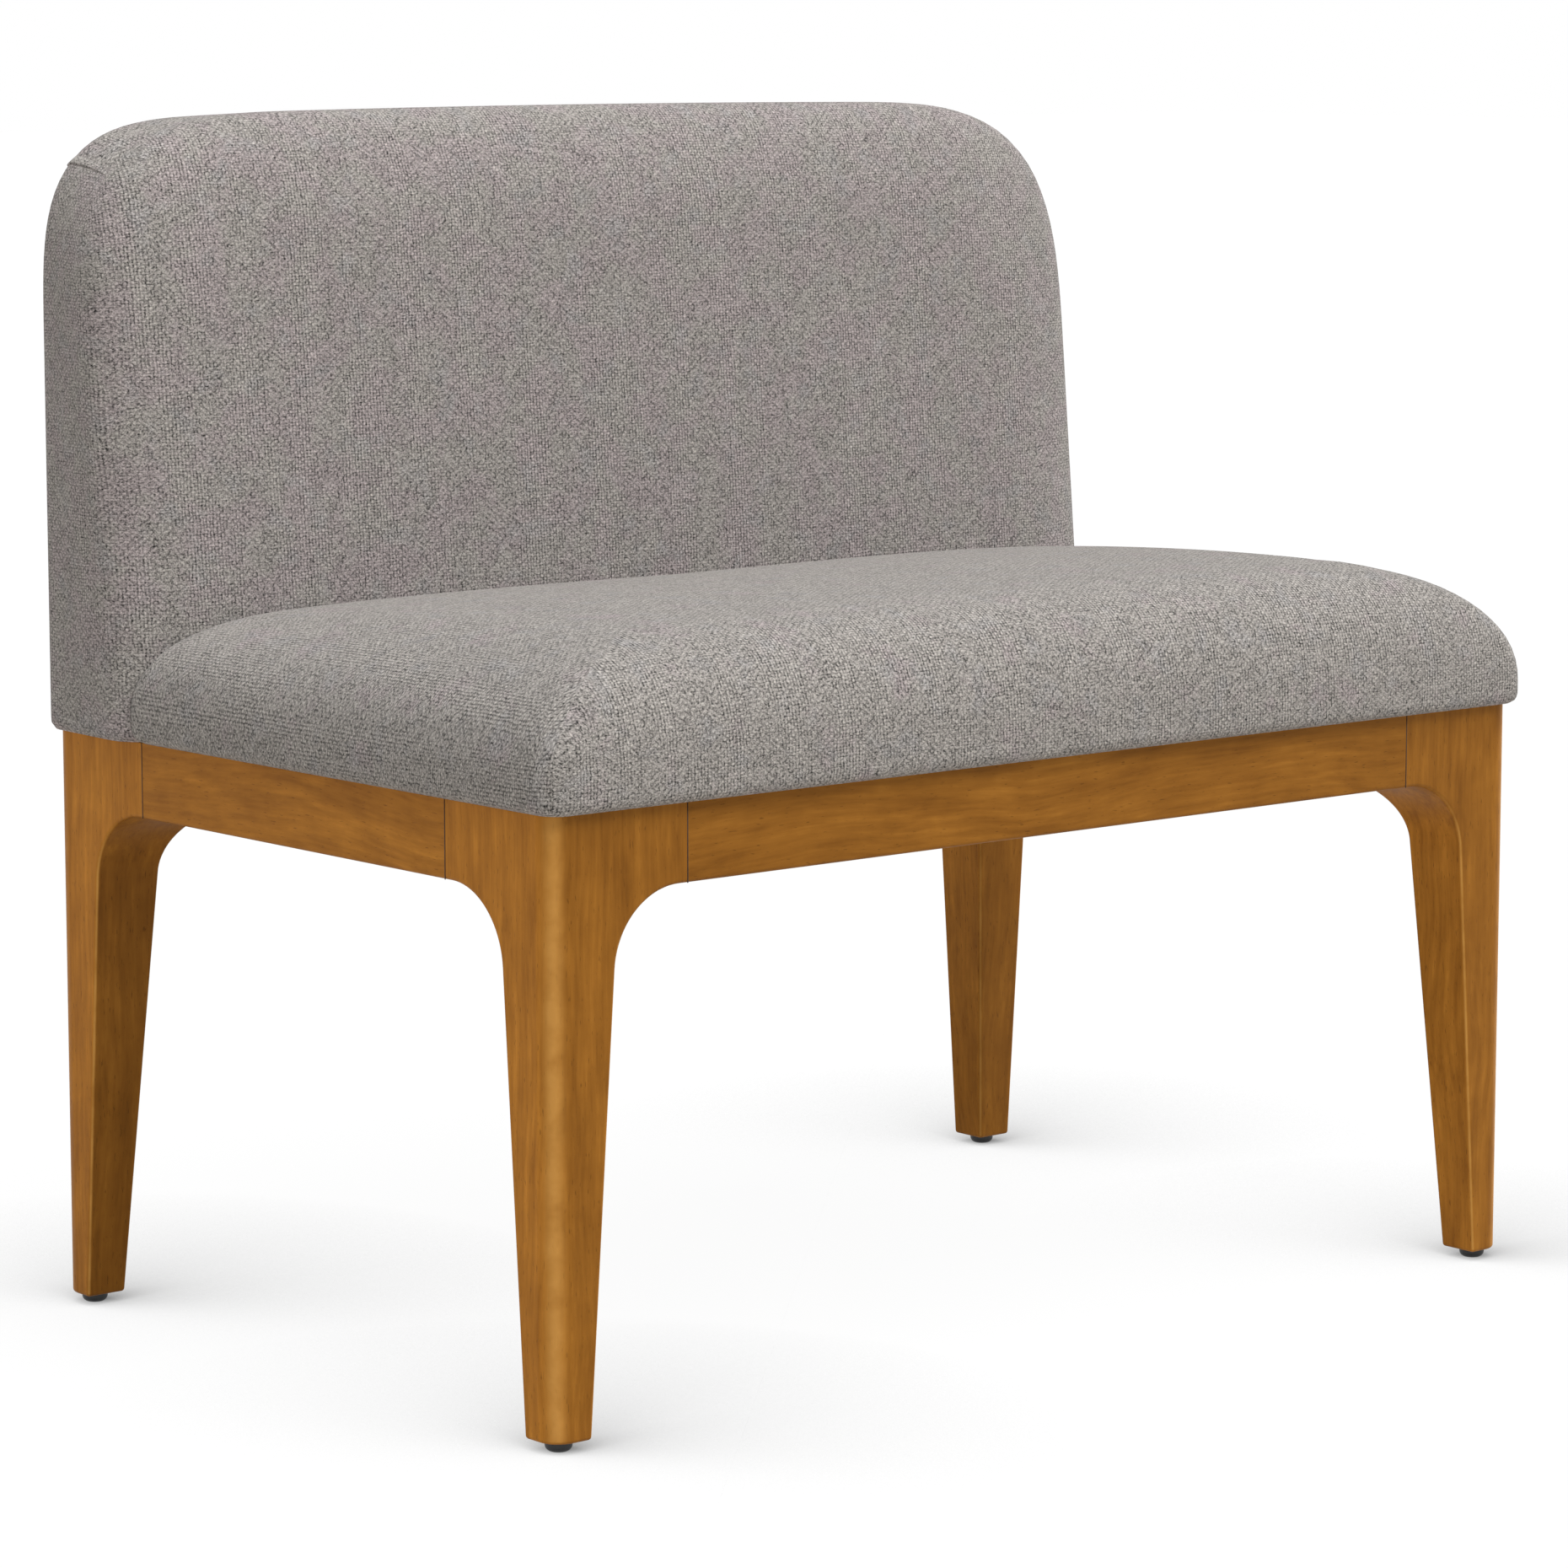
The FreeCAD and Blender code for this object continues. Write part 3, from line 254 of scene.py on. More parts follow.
# Woven cover
YARN_ACROSS = 0.0027
YARN_UP = 0.0022
YARN_WANDER = 0.9
WANDER_SCALE = 0.30
YARN_UNEVEN = 0.70
LINED_EVEN = 0.35
LINED_ROWS = (42.0, 6.0, 1.0)
LINED_RANGE = (0.42, 0.60)
GAP_RANGE = (0.22, 0.72)
# Painted shade in the gaps between yarns
GAP_SHADE = 0.30
YARN_SPREAD = 0.34
WARP_RIB = 0.16
LINED_RIB = 0.18
WEFT_RIB = 0.18
CROSSING_RIB = 0.17
FIBRE_SCALE = 2.5
FIBRE_SPREAD = 2.3
TINT_PATCHES = 28.0
TINT_EDGE = 0.10
SLATE_PATCHES = 42.0
SLATE_RANGE = (0.52, 0.72)
SLATE_MOST = 0.7
MAUVE = (0.394, 0.346, 0.340, 1.0)
OLIVE = (0.386, 0.360, 0.334, 1.0)
SLATE = (0.370, 0.354, 0.346, 1.0)
BACK_OLIVE = 0.50
SEAT_OLIVE = 0.62
BACK_TONE = 0.84
SEAT_TONE = 0.81


def woven_cover(name, olive, lightness):
    """Plain weave of uneven heathered yarns, its rows lined up here and there, in slowly changing greys.

    More of it is olive, and less of it mauve, as olive goes up.
    """
    cloth = finish(name)
    flat = cloth.node("ShaderNodeUVMap", {"uv_map": "cloth"})
    laid = cloth.stretched(flat, (1 / YARN_ACROSS, 1 / YARN_UP, 1.0))
    laid = cloth.shifted(laid, cloth.noise(laid, WANDER_SCALE, output="Color"), YARN_WANDER)
    lined = cloth.noise(cloth.stretched(flat, LINED_ROWS), 1.0, detail=1.0).between(*LINED_RANGE)
    pebbles = {"Vector": laid, "Scale": 1.0, "Randomness": YARN_UNEVEN - LINED_EVEN * lined}
    flat_cells = {"voronoi_dimensions": "2D"}
    gaps = cloth.node("ShaderNodeTexVoronoi", flat_cells, pebbles).between(*GAP_RANGE)
    yarn = cloth.node("ShaderNodeTexVoronoi", flat_cells, pebbles, "Color")
    yarn = cloth.node("ShaderNodeSeparateColor", None, {"Color": yarn})
    fibres = cloth.noise(laid, FIBRE_SCALE, detail=1.0, roughness=0.6)
    warp = (cloth.along("X", laid) * math.pi).cosine()
    weft = (cloth.along("Y", laid) * math.pi).cosine()
    ribs = (WARP_RIB + LINED_RIB * lined) * (warp * warp - 0.5)
    ribs = ribs + WEFT_RIB * (weft * weft - 0.5) + CROSSING_RIB * warp * weft

    slow = cloth.noise(flat, TINT_PATCHES, detail=3.0, roughness=0.6)
    cool = cloth.noise(flat, SLATE_PATCHES)
    tint = cloth.mixed(slow.between(olive - TINT_EDGE, olive + TINT_EDGE), OLIVE, MAUVE)
    tint = cloth.mixed(SLATE_MOST * cool.between(*SLATE_RANGE), tint, SLATE)
    # Painted shade darkens the gaps between yarns, and the ribs add painted light and shade along the yarns'
    # rise and fall, as well as going into the bump
    tone = lightness - GAP_SHADE * gaps + ribs + YARN_SPREAD * (yarn - 0.5) + FIBRE_SPREAD * (fibres - 0.5)
    colour = cloth.mixed(1.0, tint, cloth.grey(tone), "MULTIPLY")
    relief = cloth.bump(fibres + ribs, distance=0.0006, strength=0.4)
    return cloth.surface(Base_Color=colour, Roughness=0.95, Normal=relief, Sheen_Weight=0.10,
                         Sheen_Roughness=0.6, Specular_IOR_Level=0.15)


# Stained hardwood outside, plain timber inside
STAIN = [
    (0.00, (0.130, 0.045, 0.0050)),
    (0.35, (0.236, 0.089, 0.0100)),
    (0.62, (0.320, 0.127, 0.0160)),
    (1.00, (0.480, 0.202, 0.0290)),
]
PLAIN = [
    (0.00, (0.36, 0.24, 0.13)),
    (0.35, (0.50, 0.37, 0.22)),
    (0.62, (0.58, 0.45, 0.28)),
    (1.00, (0.68, 0.55, 0.37)),
]
MIDDLE_TONE = 0.52
ALONG_GRAIN = 0.045
ALONG_PORE = 0.16
STREAK_SCALE = 260.0
STREAK_WEIGHT = 0.60
BAND_SCALE = 60.0
BAND_WEIGHT = 0.42
MOTTLE_SCALE = 90.0
MOTTLE_WEIGHT = 0.70
BLOTCH_SCALE = 38.0
BLOTCH_WEIGHT = 0.32
PORE_SCALE = 800.0
PORE_RANGE = (0.66, 0.74)
PORE_DARK = 0.45
PORE_TONE = 0.5
PORE_DEEP = 0.8
GRAIN_WANDER = 0.03
GRAIN_BENDS = 5.0
APRON_STAIN = 0.95
# Painted light: how much paler the aprons' faces to the left and right are made
APRON_PAINTED_SIDE_LIGHT = 0.55
# Painted light: the legs' stain is a little lighter than the aprons', standing in for brighter light low down
LEG_STAIN_AND_LIGHT = 1.0
# Painted light: how much paler the legs' faces to the left and right are made
LEG_PAINTED_SIDE_LIGHT = 0.68
# Painted highlight on the legs' rounded upright corners: its colour, strength, narrowness and patchiness
PAINTED_HIGHLIGHT = (0.60, 0.29, 0.065, 1.0)
HIGHLIGHT_ON_CORNER = 0.9
HIGHLIGHT_TIGHT = 1.7
HIGHLIGHT_SPOTS = 2.2
HIGHLIGHT_LESS = 0.1
STAIN_COAT = 0.04
EASED_EDGE = 0.0012
# Edges made paler, partly as wear and partly as a painted highlight on the arrises
WEAR_AND_HIGHLIGHT_EDGE = 0.003
WEAR_AND_HIGHLIGHT_RANGE = (0.03, 0.22)
WEAR_AND_HIGHLIGHT_EVENLY = 0.25
WEAR_AND_HIGHLIGHT_PATCHILY = 0.5
EDGE_SAMPLES = 6


def painted_side_light_and_highlight(wood, colour, blotches, stain_and_light, side, highlight):
    """Painted light: the stain made paler on the faces to the left and right, and a painted highlight on
    rounded upright corners.
    """
    facing = wood.node("ShaderNodeTexCoord", output="Normal")
    onward = wood.along("Y", facing)
    sideways = wood.along("X", facing)
    sideways = sideways * sideways
    # Painted light: paler on faces that face left and right
    colour = wood.mixed(1.0, colour, wood.grey(stain_and_light * (1 + side * sideways)), "MULTIPLY")
    # Painted highlight down rounded upright corners, patchy with the blotches
    corner = (4 * sideways * onward * onward).power(HIGHLIGHT_TIGHT)
    return wood.mixed(highlight * corner * (HIGHLIGHT_SPOTS * blotches - HIGHLIGHT_LESS), colour, PAINTED_HIGHLIGHT)


def timber(name, grain, tones, coat=0.0, stain_and_light=()):
    """Wood with its grain along one axis: streaks, blotches, short dark pores, eased edges, and edges made
    paler partly as wear and partly as a painted highlight.

    The last argument gives its lightness, how much painted light makes it paler on the faces to the left and
    right, and how strong the painted highlight on its rounded upright corners is.
    """
    wood = finish(name)
    spot = wood.spot()
    run = tuple(ALONG_GRAIN if axis == grain else 1.0 for axis in range(3))
    short = tuple(ALONG_PORE if axis == grain else 1.0 for axis in range(3))
    warped = wood.shifted(spot, wood.noise(spot, GRAIN_BENDS, output="Color"), GRAIN_WANDER)
    streaks = wood.noise(wood.stretched(warped, run), STREAK_SCALE, detail=3.0, roughness=0.6)
    bands = wood.noise(wood.stretched(warped, run), BAND_SCALE, detail=3.0, roughness=0.55)
    mottle = wood.noise(wood.stretched(warped, short), MOTTLE_SCALE, detail=4.0, roughness=0.6)
    blotches = wood.noise(warped, BLOTCH_SCALE, detail=3.0, roughness=0.6)
    tone = MIDDLE_TONE + STREAK_WEIGHT * (streaks - 0.5) + BAND_WEIGHT * (bands - 0.5)
    tone = tone + MOTTLE_WEIGHT * (mottle - 0.5) + BLOTCH_WEIGHT * (blotches - 0.5)
    pores = wood.noise(wood.stretched(spot, short), PORE_SCALE, detail=1.0).between(*PORE_RANGE)
    dark = (*[share * PORE_TONE for share in tones[0][1]], 1.0)
    colour = wood.mixed(PORE_DARK * pores, wood.ramp(tone, tones), dark)

    if stain_and_light:
        colour = painted_side_light_and_highlight(wood, colour, blotches, *stain_and_light)

    turned = wood.node("ShaderNodeBevel", {"samples": EDGE_SAMPLES}, {"Radius": WEAR_AND_HIGHLIGHT_EDGE})
    flat = wood.node("ShaderNodeNewGeometry", output="Normal")
    edge = wood.node("ShaderNodeVectorMath", {"operation": "DOT_PRODUCT"}, {0: turned, 1: flat}, "Value")
    # Paler along edges: wear and painted highlight
    wear_and_highlight = (1 - edge).between(*WEAR_AND_HIGHLIGHT_RANGE) * (WEAR_AND_HIGHLIGHT_EVENLY + WEAR_AND_HIGHLIGHT_PATCHILY * mottle)
    colour = wood.mixed(wear_and_highlight, colour, (*tones[-1][1], 1.0))
    eased = wood.node("ShaderNodeBevel", {"samples": EDGE_SAMPLES}, {"Radius": EASED_EDGE})
    relief = wood.bump(streaks - PORE_DEEP * pores, distance=0.0002, strength=0.25, Normal=eased)
    return wood.surface(Base_Color=colour, Roughness=0.36 + 0.18 * mottle, Normal=relief,
                        Coat_Weight=coat, Coat_Roughness=0.25, Specular_IOR_Level=0.06)


# Small finishes, each with its darker and its paler tone
GLIDE_TONES = ((0.012, 0.012, 0.013, 1.0), (0.030, 0.030, 0.031, 1.0))
GLIDE_SCUFFS = 600.0
SCUFF_RANGE = (0.45, 0.8)
ZINC_TONES = ((0.46, 0.47, 0.48, 1.0), (0.66, 0.66, 0.65, 1.0))
ZINC_CLOUDS = 260.0
THREAD_PITCH = 0.00125
THREAD_DEPTH = 0.0006
THREAD_GROOVE_SHADE = (0.08, 0.08, 0.08, 1.0)
THREAD_SHADE = 0.4
DUST_TONES = ((0.010, 0.010, 0.011, 1.0), (0.030, 0.030, 0.032, 1.0))
DUST_DIMPLES = 500.0
DUST_FIBRES = 900.0
WEBBING_TONES = ((0.035, 0.030, 0.026, 1.0), (0.125, 0.110, 0.095, 1.0))
WEBBING_RIBS = 220.0
JOINT_TONES = ((0.040, 0.014, 0.003, 1.0), (0.085, 0.032, 0.006, 1.0))
JOINT_DUST = 300.0


def glide_black():
    """Satin black moulding."""
    plastic = finish("glide_black")
    scuffs = plastic.noise(plastic.spot(), GLIDE_SCUFFS, detail=3.0)
    colour = plastic.mixed(scuffs.between(*SCUFF_RANGE), *GLIDE_TONES)
    return plastic.surface(Base_Color=colour, Roughness=0.30 + 0.25 * scuffs,
                           Normal=plastic.bump(scuffs, distance=0.0001, strength=0.2))


def zinc_plate(name, threaded=False):
    """Plated steel, slightly clouded, with the level rings of a thread where it is threaded, their grooves
    darkened as painted shade.
    """
    steel = finish(name)
    spot = steel.spot()
    cloud = steel.noise(spot, ZINC_CLOUDS, detail=3.0)
    colour = steel.mixed(cloud, *ZINC_TONES)
    relief = {}
    if threaded:
        rings = (steel.along("Z", spot) * (2 * math.pi / THREAD_PITCH)).cosine()
        # Painted shade in the thread's grooves
        colour = steel.mixed(THREAD_SHADE * (1 - rings), colour, THREAD_GROOVE_SHADE)
        relief = {"Normal": steel.bump(rings, distance=THREAD_DEPTH, strength=1.0)}
    return steel.surface(Base_Color=colour, Metallic=1.0, Roughness=0.26 + 0.22 * cloud, **relief)


def pressed_black():
    """Black non-woven dust cloth with a fine pressed dimple."""
    cloth = finish("pressed_black")
    spot = cloth.spot()
    dimples = cloth.node("ShaderNodeTexVoronoi", None, {"Vector": spot, "Scale": DUST_DIMPLES})
    fibres = cloth.noise(spot, DUST_FIBRES)
    colour = cloth.mixed(fibres, *DUST_TONES)
    relief = cloth.bump(dimples, distance=0.0003, strength=0.5)
    return cloth.surface(Base_Color=colour, Roughness=0.9, Normal=relief)


def webbing_band():
    """Dark woven elastic with a paler rib."""
    band = finish("webbing_band")
    ribs = band.node("ShaderNodeTexWave", {"wave_type": "BANDS", "bands_direction": "DIAGONAL"},
                     {"Vector": band.spot(), "Scale": WEBBING_RIBS, "Distortion": 0.4}, "Fac")
    colour = band.mixed(ribs, *WEBBING_TONES)
    relief = band.bump(ribs, distance=0.0004, strength=0.5)
    return band.surface(Base_Color=colour, Roughness=0.85, Normal=relief)


def dress_nodes():
    """Give every carried-over node its finish, wood with its grain along the piece."""
    apron = (APRON_STAIN, APRON_PAINTED_SIDE_LIGHT, 0.0)
    leg = (LEG_STAIN_AND_LIGHT, LEG_PAINTED_SIDE_LIGHT, HIGHLIGHT_ON_CORNER)
    stained = [timber(f"stained_wood_{axis}", number, STAIN, STAIN_COAT, leg if axis == "z" else apron)
               for number, axis in enumerate("xyz")]
    plain = [timber(f"planed_timber_{axis}", number, PLAIN) for number, axis in enumerate("xyz")]
    alike = {
        "glide_plastic": glide_black(),
        "zinc_steel": zinc_plate("zinc_plate"),
        "webbing": webbing_band(),
    }
    threaded = zinc_plate("threaded_zinc", True)
    for name, node in nodes.items():
        low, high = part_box(name)
        longest = max(range(3), key=lambda axis: high[axis] - low[axis])
        for slot in node.material_slots:
            given = slot.material.name
            if given == "stained_wood":
                slot.material = stained[longest]
            elif given == "frame_timber":
                slot.material = plain[longest]
            elif name.startswith("leveller_stud"):
                slot.material = threaded
            elif given in alike:
                slot.material = alike[given]


def quarter(share, fullness):
    """The other leg of a rounded quarter, where the first leg is share of its length."""
    return (1 - min(1.0, max(0.0, share)) ** fullness) ** (1 / fullness)


def rounded_corner(fullness):
    """Corner of radius 1 in even steps: place in from the side and up, run so far, lean of its normal."""
    power = 2 / fullness
    turns = [math.pi / 2 * step / CORNER_SAMPLES for step in range(CORNER_SAMPLES + 1)]
    places = [(1 - max(0.0, math.cos(turn)) ** power, math.sin(turn) ** power) for turn in turns]
    runs = [0.0]
    for before, after in zip(places, places[1:]):
        runs.append(runs[-1] + math.dist(before, after))
    corner = []
    n = 0
    for step in range(CORNER_STEPS + 1):
        run = runs[-1] * step / CORNER_STEPS
        while n < CORNER_SAMPLES - 1 and runs[n + 1] < run:
            n += 1
        share = (run - runs[n]) / (runs[n + 1] - runs[n])
        (across, up), (next_across, next_up) = places[n], places[n + 1]
        lean = math.atan2(next_across - across, next_up - up)
        corner.append((across + (next_across - across) * share, up + (next_up - up) * share, run, lean))
    return corner


class Cover:
    """The outside of a padded part as closed hoops, from the edge of its middle outwards.

    Flat places are (p, q): p across, q from the near end, which lies against another part, to the far
    edge. height(p, q) is the third coordinate and space(p, q, r) the place of the point. The weave of the
    first hoops, their number given by smooth, spreads outwards from the middle. Beyond them it runs straight
    over the far edge and straight over the sides, and meets on a mitre at the corners.
    """

    def __init__(self, space, near, fullness=2.0, smooth=0):
        self.space = space
        self.near = near
        self.corner = rounded_corner(fullness)
        self.smooth = smooth
        self.points = []
        self.flat = []
        self.faces = []
        self.weave = []
        self.hoops = []

    def point(self, p, q, height):
        self.points.append(Vector(self.space(p, q, height(p, q))))
        self.flat.append((p, q))
        return len(self.points) - 1

    def outline(self, half, far, radius, height):
        """Flat places from the near end of one side round to the other, with the corner's run and lean."""
        near = self.near(half, height)
        turn = far - radius
        left = [(-half, near + (turn - near) * step / SIDE_STEPS, 0.0, 0.0) for step in range(SIDE_STEPS)]
        for across, up, run, lean in self.corner[:-1]:
            left.append((-half + radius * across, turn + radius * up, radius * run, lean))
        turned = radius * self.corner[-1][2]
        across = [((half - radius) * (2 * step / ACROSS_STEPS - 1), far, turned, math.pi / 2)
                  for step in range(ACROSS_STEPS + 1)]
        return left + across + [(-p, q, run, lean) for p, q, run, lean in reversed(left)]

    def sill(self, half, height):
        """Flat places across the near end, from right to left, without its two ends."""
        inner = half - MIDDLE_REACH
        steps = [half - MIDDLE_REACH * step / MIDDLE_HOOPS for step in range(1, MIDDLE_HOOPS)]
        steps += [inner * (1 - 2 * step / ACROSS_STEPS) for step in range(ACROSS_STEPS + 1)]
        steps += [-p for p in reversed(steps[:MIDDLE_HOOPS - 1])]
        return [(p, self.near(p, height)) for p in steps]

    def hoop(self, half, far, radius, height):
        """Add a hoop and the faces between it and the one before."""
        outline = self.outline(half, far, radius, height)
        sill = self.sill(half, height)
        row = [self.point(p, q, height) for p, q, run, lean in outline]
        row += [self.point(p, q, height) for p, q in sill]
        marks = (row[SIDE_STEPS // 2], row[len(outline) // 2], row[len(outline) + len(sill) // 2])
        if self.hoops:
            before = self.hoops[-1]
            runs = [run + (self.points[new] - self.points[old]).length
                    for run, new, old in zip(before["runs"], marks, before["marks"])]
        else:
            runs = [half, far, -sill[0][1]]
        side, reach, under = runs
        turned = radius * self.corner[-1][2]
        weave = []
        for p, q, run, lean in outline:
            sign = math.copysign(1, p)
            straight = max(radius - half, min(half - radius, p))
            spread = (side - half) * math.cos(lean) ** 2 + (reach - far) * math.sin(lean) ** 2
            weave.append(((sign * side, min(q, far - radius) + run),
                          (straight + sign * (turned - run), reach), (p, -under),
                          (p + sign * spread * math.cos(lean), q + spread * math.sin(lean))))
        weave += [((p, q), (p, q), (p, -under), (p, -under)) for p, q in sill]
        self.hoops.append({"row": row, "weave": weave, "runs": runs, "marks": marks, "ends": len(outline)})
        if len(self.hoops) > 1:
            self.stitch(*self.hoops[-2:])

    def stitch(self, inner, outer):
        """Faces between two hoops, each with the weave lying one way on it."""
        ends = inner["ends"]
        count = len(inner["row"])
        for step in range(count):
            after = (step + 1) % count
            if step >= ends - 1:
                way = OVER_NEAR
            elif len(self.hoops) <= self.smooth:
                way = SPREAD
            else:
                way = OVER_SIDE if step < MITRE or step >= ends - 1 - MITRE else OVER_FAR
            corners = [(inner, step), (outer, step), (outer, after), (inner, after)]
            self.faces.append([hoop["row"][n] for hoop, n in corners])
            self.weave.append([hoop["weave"][n][way] for hoop, n in corners])

    def middle(self, hoop, half, far, radius, height):
        """Close the inside of a hoop: hoops whose corners tighten, then a plain grid."""
        outer = self.hoops[hoop]["row"][:self.hoops[hoop]["ends"]]
        for step in range(1, MIDDLE_HOOPS + 1):
            share = step / MIDDLE_HOOPS
            inset = MIDDLE_REACH * share
            outline = self.outline(half - inset, far - inset, radius * (1 - share), height)
            inner = [self.point(p, q, height) for p, q, run, lean in outline]
            for n in range(len(inner) - 1):
                self.plain([inner[n], outer[n], outer[n + 1], inner[n + 1]])
            outer = inner
        width = half - MIDDLE_REACH
        top = far - MIDDLE_REACH
        rows = []
        for step in range(SIDE_STEPS + 1):
            share = step / SIDE_STEPS
            row = []
            for n in range(ACROSS_STEPS + 1):
                p = width * (2 * n / ACROSS_STEPS - 1)
                near = self.near(p, height)
                row.append(self.point(p, near + (top - near) * share, height))
            rows.append(row)
        for below, above in zip(rows, rows[1:]):
            for n in range(ACROSS_STEPS):
                self.plain([below[n], above[n], above[n + 1], below[n + 1]])

    def plain(self, face):
        """Add a face whose weave lies flat."""
        self.faces.append(face)
        self.weave.append([self.flat[n] for n in face])

    def piece(self, name, finish):
        return made_piece(name, self.points, self.faces, self.weave, finish)


def made_piece(name, points, faces, weave, finish):
    """Mesh object with the cloth laid on it, doubled points welded."""
    mesh = bpy.data.meshes.new(name)
    mesh.from_pydata(points, [], faces)
    laid = mesh.uv_layers.new(name="cloth")
    for face, spots in zip(mesh.polygons, weave):
        for loop, spot in zip(face.loop_indices, spots):
            laid.uv[loop].vector = spot
    shape = bmesh.new()
    shape.from_mesh(mesh)
    bmesh.ops.remove_doubles(shape, verts=shape.verts, dist=WELD)
    bmesh.ops.recalc_face_normals(shape, faces=shape.faces)
    shape.to_mesh(mesh)
    shape.free()
    mesh.shade_smooth()
    mesh.materials.append(finish)
    piece = bpy.data.objects.new(name, mesh)
    bpy.context.collection.objects.link(piece)
    return piece


def back_face(z):
    """Y of the back's front at a height."""
    return BACK_FRONT + (z - FRAME_TOP) * BACK_LEAN


def seat_rear(x, z):
    """Y where the seat meets the back, carried round the back's drawn-in edges."""
    drawn = (BACK_SHOULDER - (BACK_HALF - abs(x))) / BACK_SHOULDER
    return back_face(z) + BACK_SWELL * (1 - quarter(drawn, BACK_FULLNESS)) - CREASE_GAP


def seat_height(rise):
    """Height of the seat cover on a hoop that has come up by a share of its rise."""
    def height(x, forward):
        across = x / SEAT_HALF
        behind = (max(0.0, CREST_LINE - forward) / CREST_TO_CREASE) ** 2
        crown = SEAT_CROWN * (1 - across ** 4)
        fall = behind * (REAR_FALL - REAR_SIDE_LIFT * abs(across))
        fill = behind * REAR_FILL * (1 - rise)
        return SEAT_WIDEST + rise * (SEAT_RISE + crown - fall + fill)
    return height


def level(value):
    """The same third coordinate everywhere."""
    return lambda p, q: value


def seat_near(x, height):
    """How far forward the seat begins, at the back."""
    return -seat_rear(x, height(x, -BACK_FRONT))


def seat_place(x, forward, z):
    """Place of a seat point, rolled down and in where it meets the back."""
    away = (forward + seat_rear(x, z)) / CREASE_ROLL
    roll = 1 - quarter(1 - away, 2.0)
    lift = max(0.0, z - SEAT_WIDEST) / SEAT_RISE
    return (x * (1 - CREASE_DRAW * roll / SEAT_HALF), -forward, z - CREASE_DROP * roll * min(1.0, lift))


def seat_upholstery(cover_cloth):
    """Seat cover over its padding, folded under the seat board."""
    seat = Cover(seat_place, seat_near)

    def edge(inset_side, inset_front, radius, height):
        seat.hoop(SEAT_HALF - inset_side, SEAT_FRONT - inset_front, radius, height)

    for step in range(RING_STEPS + 1):
        turn = math.pi / 2 * (1 - step / RING_STEPS)
        rise = max(0.0, math.sin(turn)) ** (2 / SIDE_FULLNESS)
        side = SIDE_SHOULDER * (1 - max(0.0, math.cos(turn)) ** (2 / SIDE_FULLNESS))
        front = FRONT_SHOULDER * (1 - quarter(rise, FRONT_FULLNESS))
        edge(side, front, PLAN_ROUND + ROUND_GROWTH * side, seat_height(rise))
    tuck_rise = SEAT_TUCK_TOP - FRAME_TOP
    for step in range(TUCK_STEPS + 1):
        share = step / TUCK_STEPS
        inset = SEAT_TUCK * (1 - math.sqrt(1 - share * share))
        edge(inset, inset, PLAN_ROUND - inset, level(SEAT_TUCK_TOP - tuck_rise * share))
    flap = level(FRAME_TOP)
    under = level(FRAME_TOP + FLAP_THICK)
    edge(FLAP_REACH, FLAP_REACH, FLAP_ROUND, flap)
    edge(FLAP_REACH, FLAP_REACH, FLAP_ROUND, under)
    seat.middle(0, SEAT_HALF - SIDE_SHOULDER, SEAT_FRONT - FRONT_SHOULDER,
                PLAN_ROUND + ROUND_GROWTH * SIDE_SHOULDER, seat_height(1.0))
    seat.middle(-1, SEAT_HALF - FLAP_REACH, SEAT_FRONT - FLAP_REACH, FLAP_ROUND, under)
    return seat.piece("seat_upholstery", cover_cloth)


def back_near(x, height):
    """Height of the foot of the back."""
    return FRAME_TOP


def back_place(x, z, y):
    """Place of a back point, drawn in at its foot and bowed along its top."""
    foot = (z - FRAME_TOP) / BACK_FOOT_ROUND
    drawn = BACK_FOOT_DRAW * (1 - quarter(1 - foot, 2.0))
    bow = TOP_BOW * (x / BACK_HALF) ** 2 * ((z - FRAME_TOP) / (BACK_TOP - FRAME_TOP)) ** 4
    return (x * (1 - drawn / BACK_HALF), y, z - bow)


def back_bulge(depth):
    """Y of the back's front, with its slight crown, at a depth behind its face."""
    def height(x, z):
        rise = (z - FRAME_TOP) / (BACK_TOP - FRAME_TOP)
        crown = BACK_CROWN * (1 - (x / BACK_HALF) ** 2) * math.sin(math.pi * rise)
        return back_face(z) + depth - crown * (1 - depth / BACK_SWELL)
    return height


def back_side(share):
    """Y on the back's sides, between the front's rounding and the rear edge."""
    def height(x, z):
        start = back_face(z) + BACK_SWELL
        return start + (BACK_REAR - BACK_REAR_EDGE - start) * share
    return height


def rear_outline(inset):
    """Half width, top and corner of the back's rear outline, drawn in."""
    return BACK_HALF - SIDE_DRAW - inset, BACK_TOP - TOP_DROP - inset, REAR_CORNER - inset


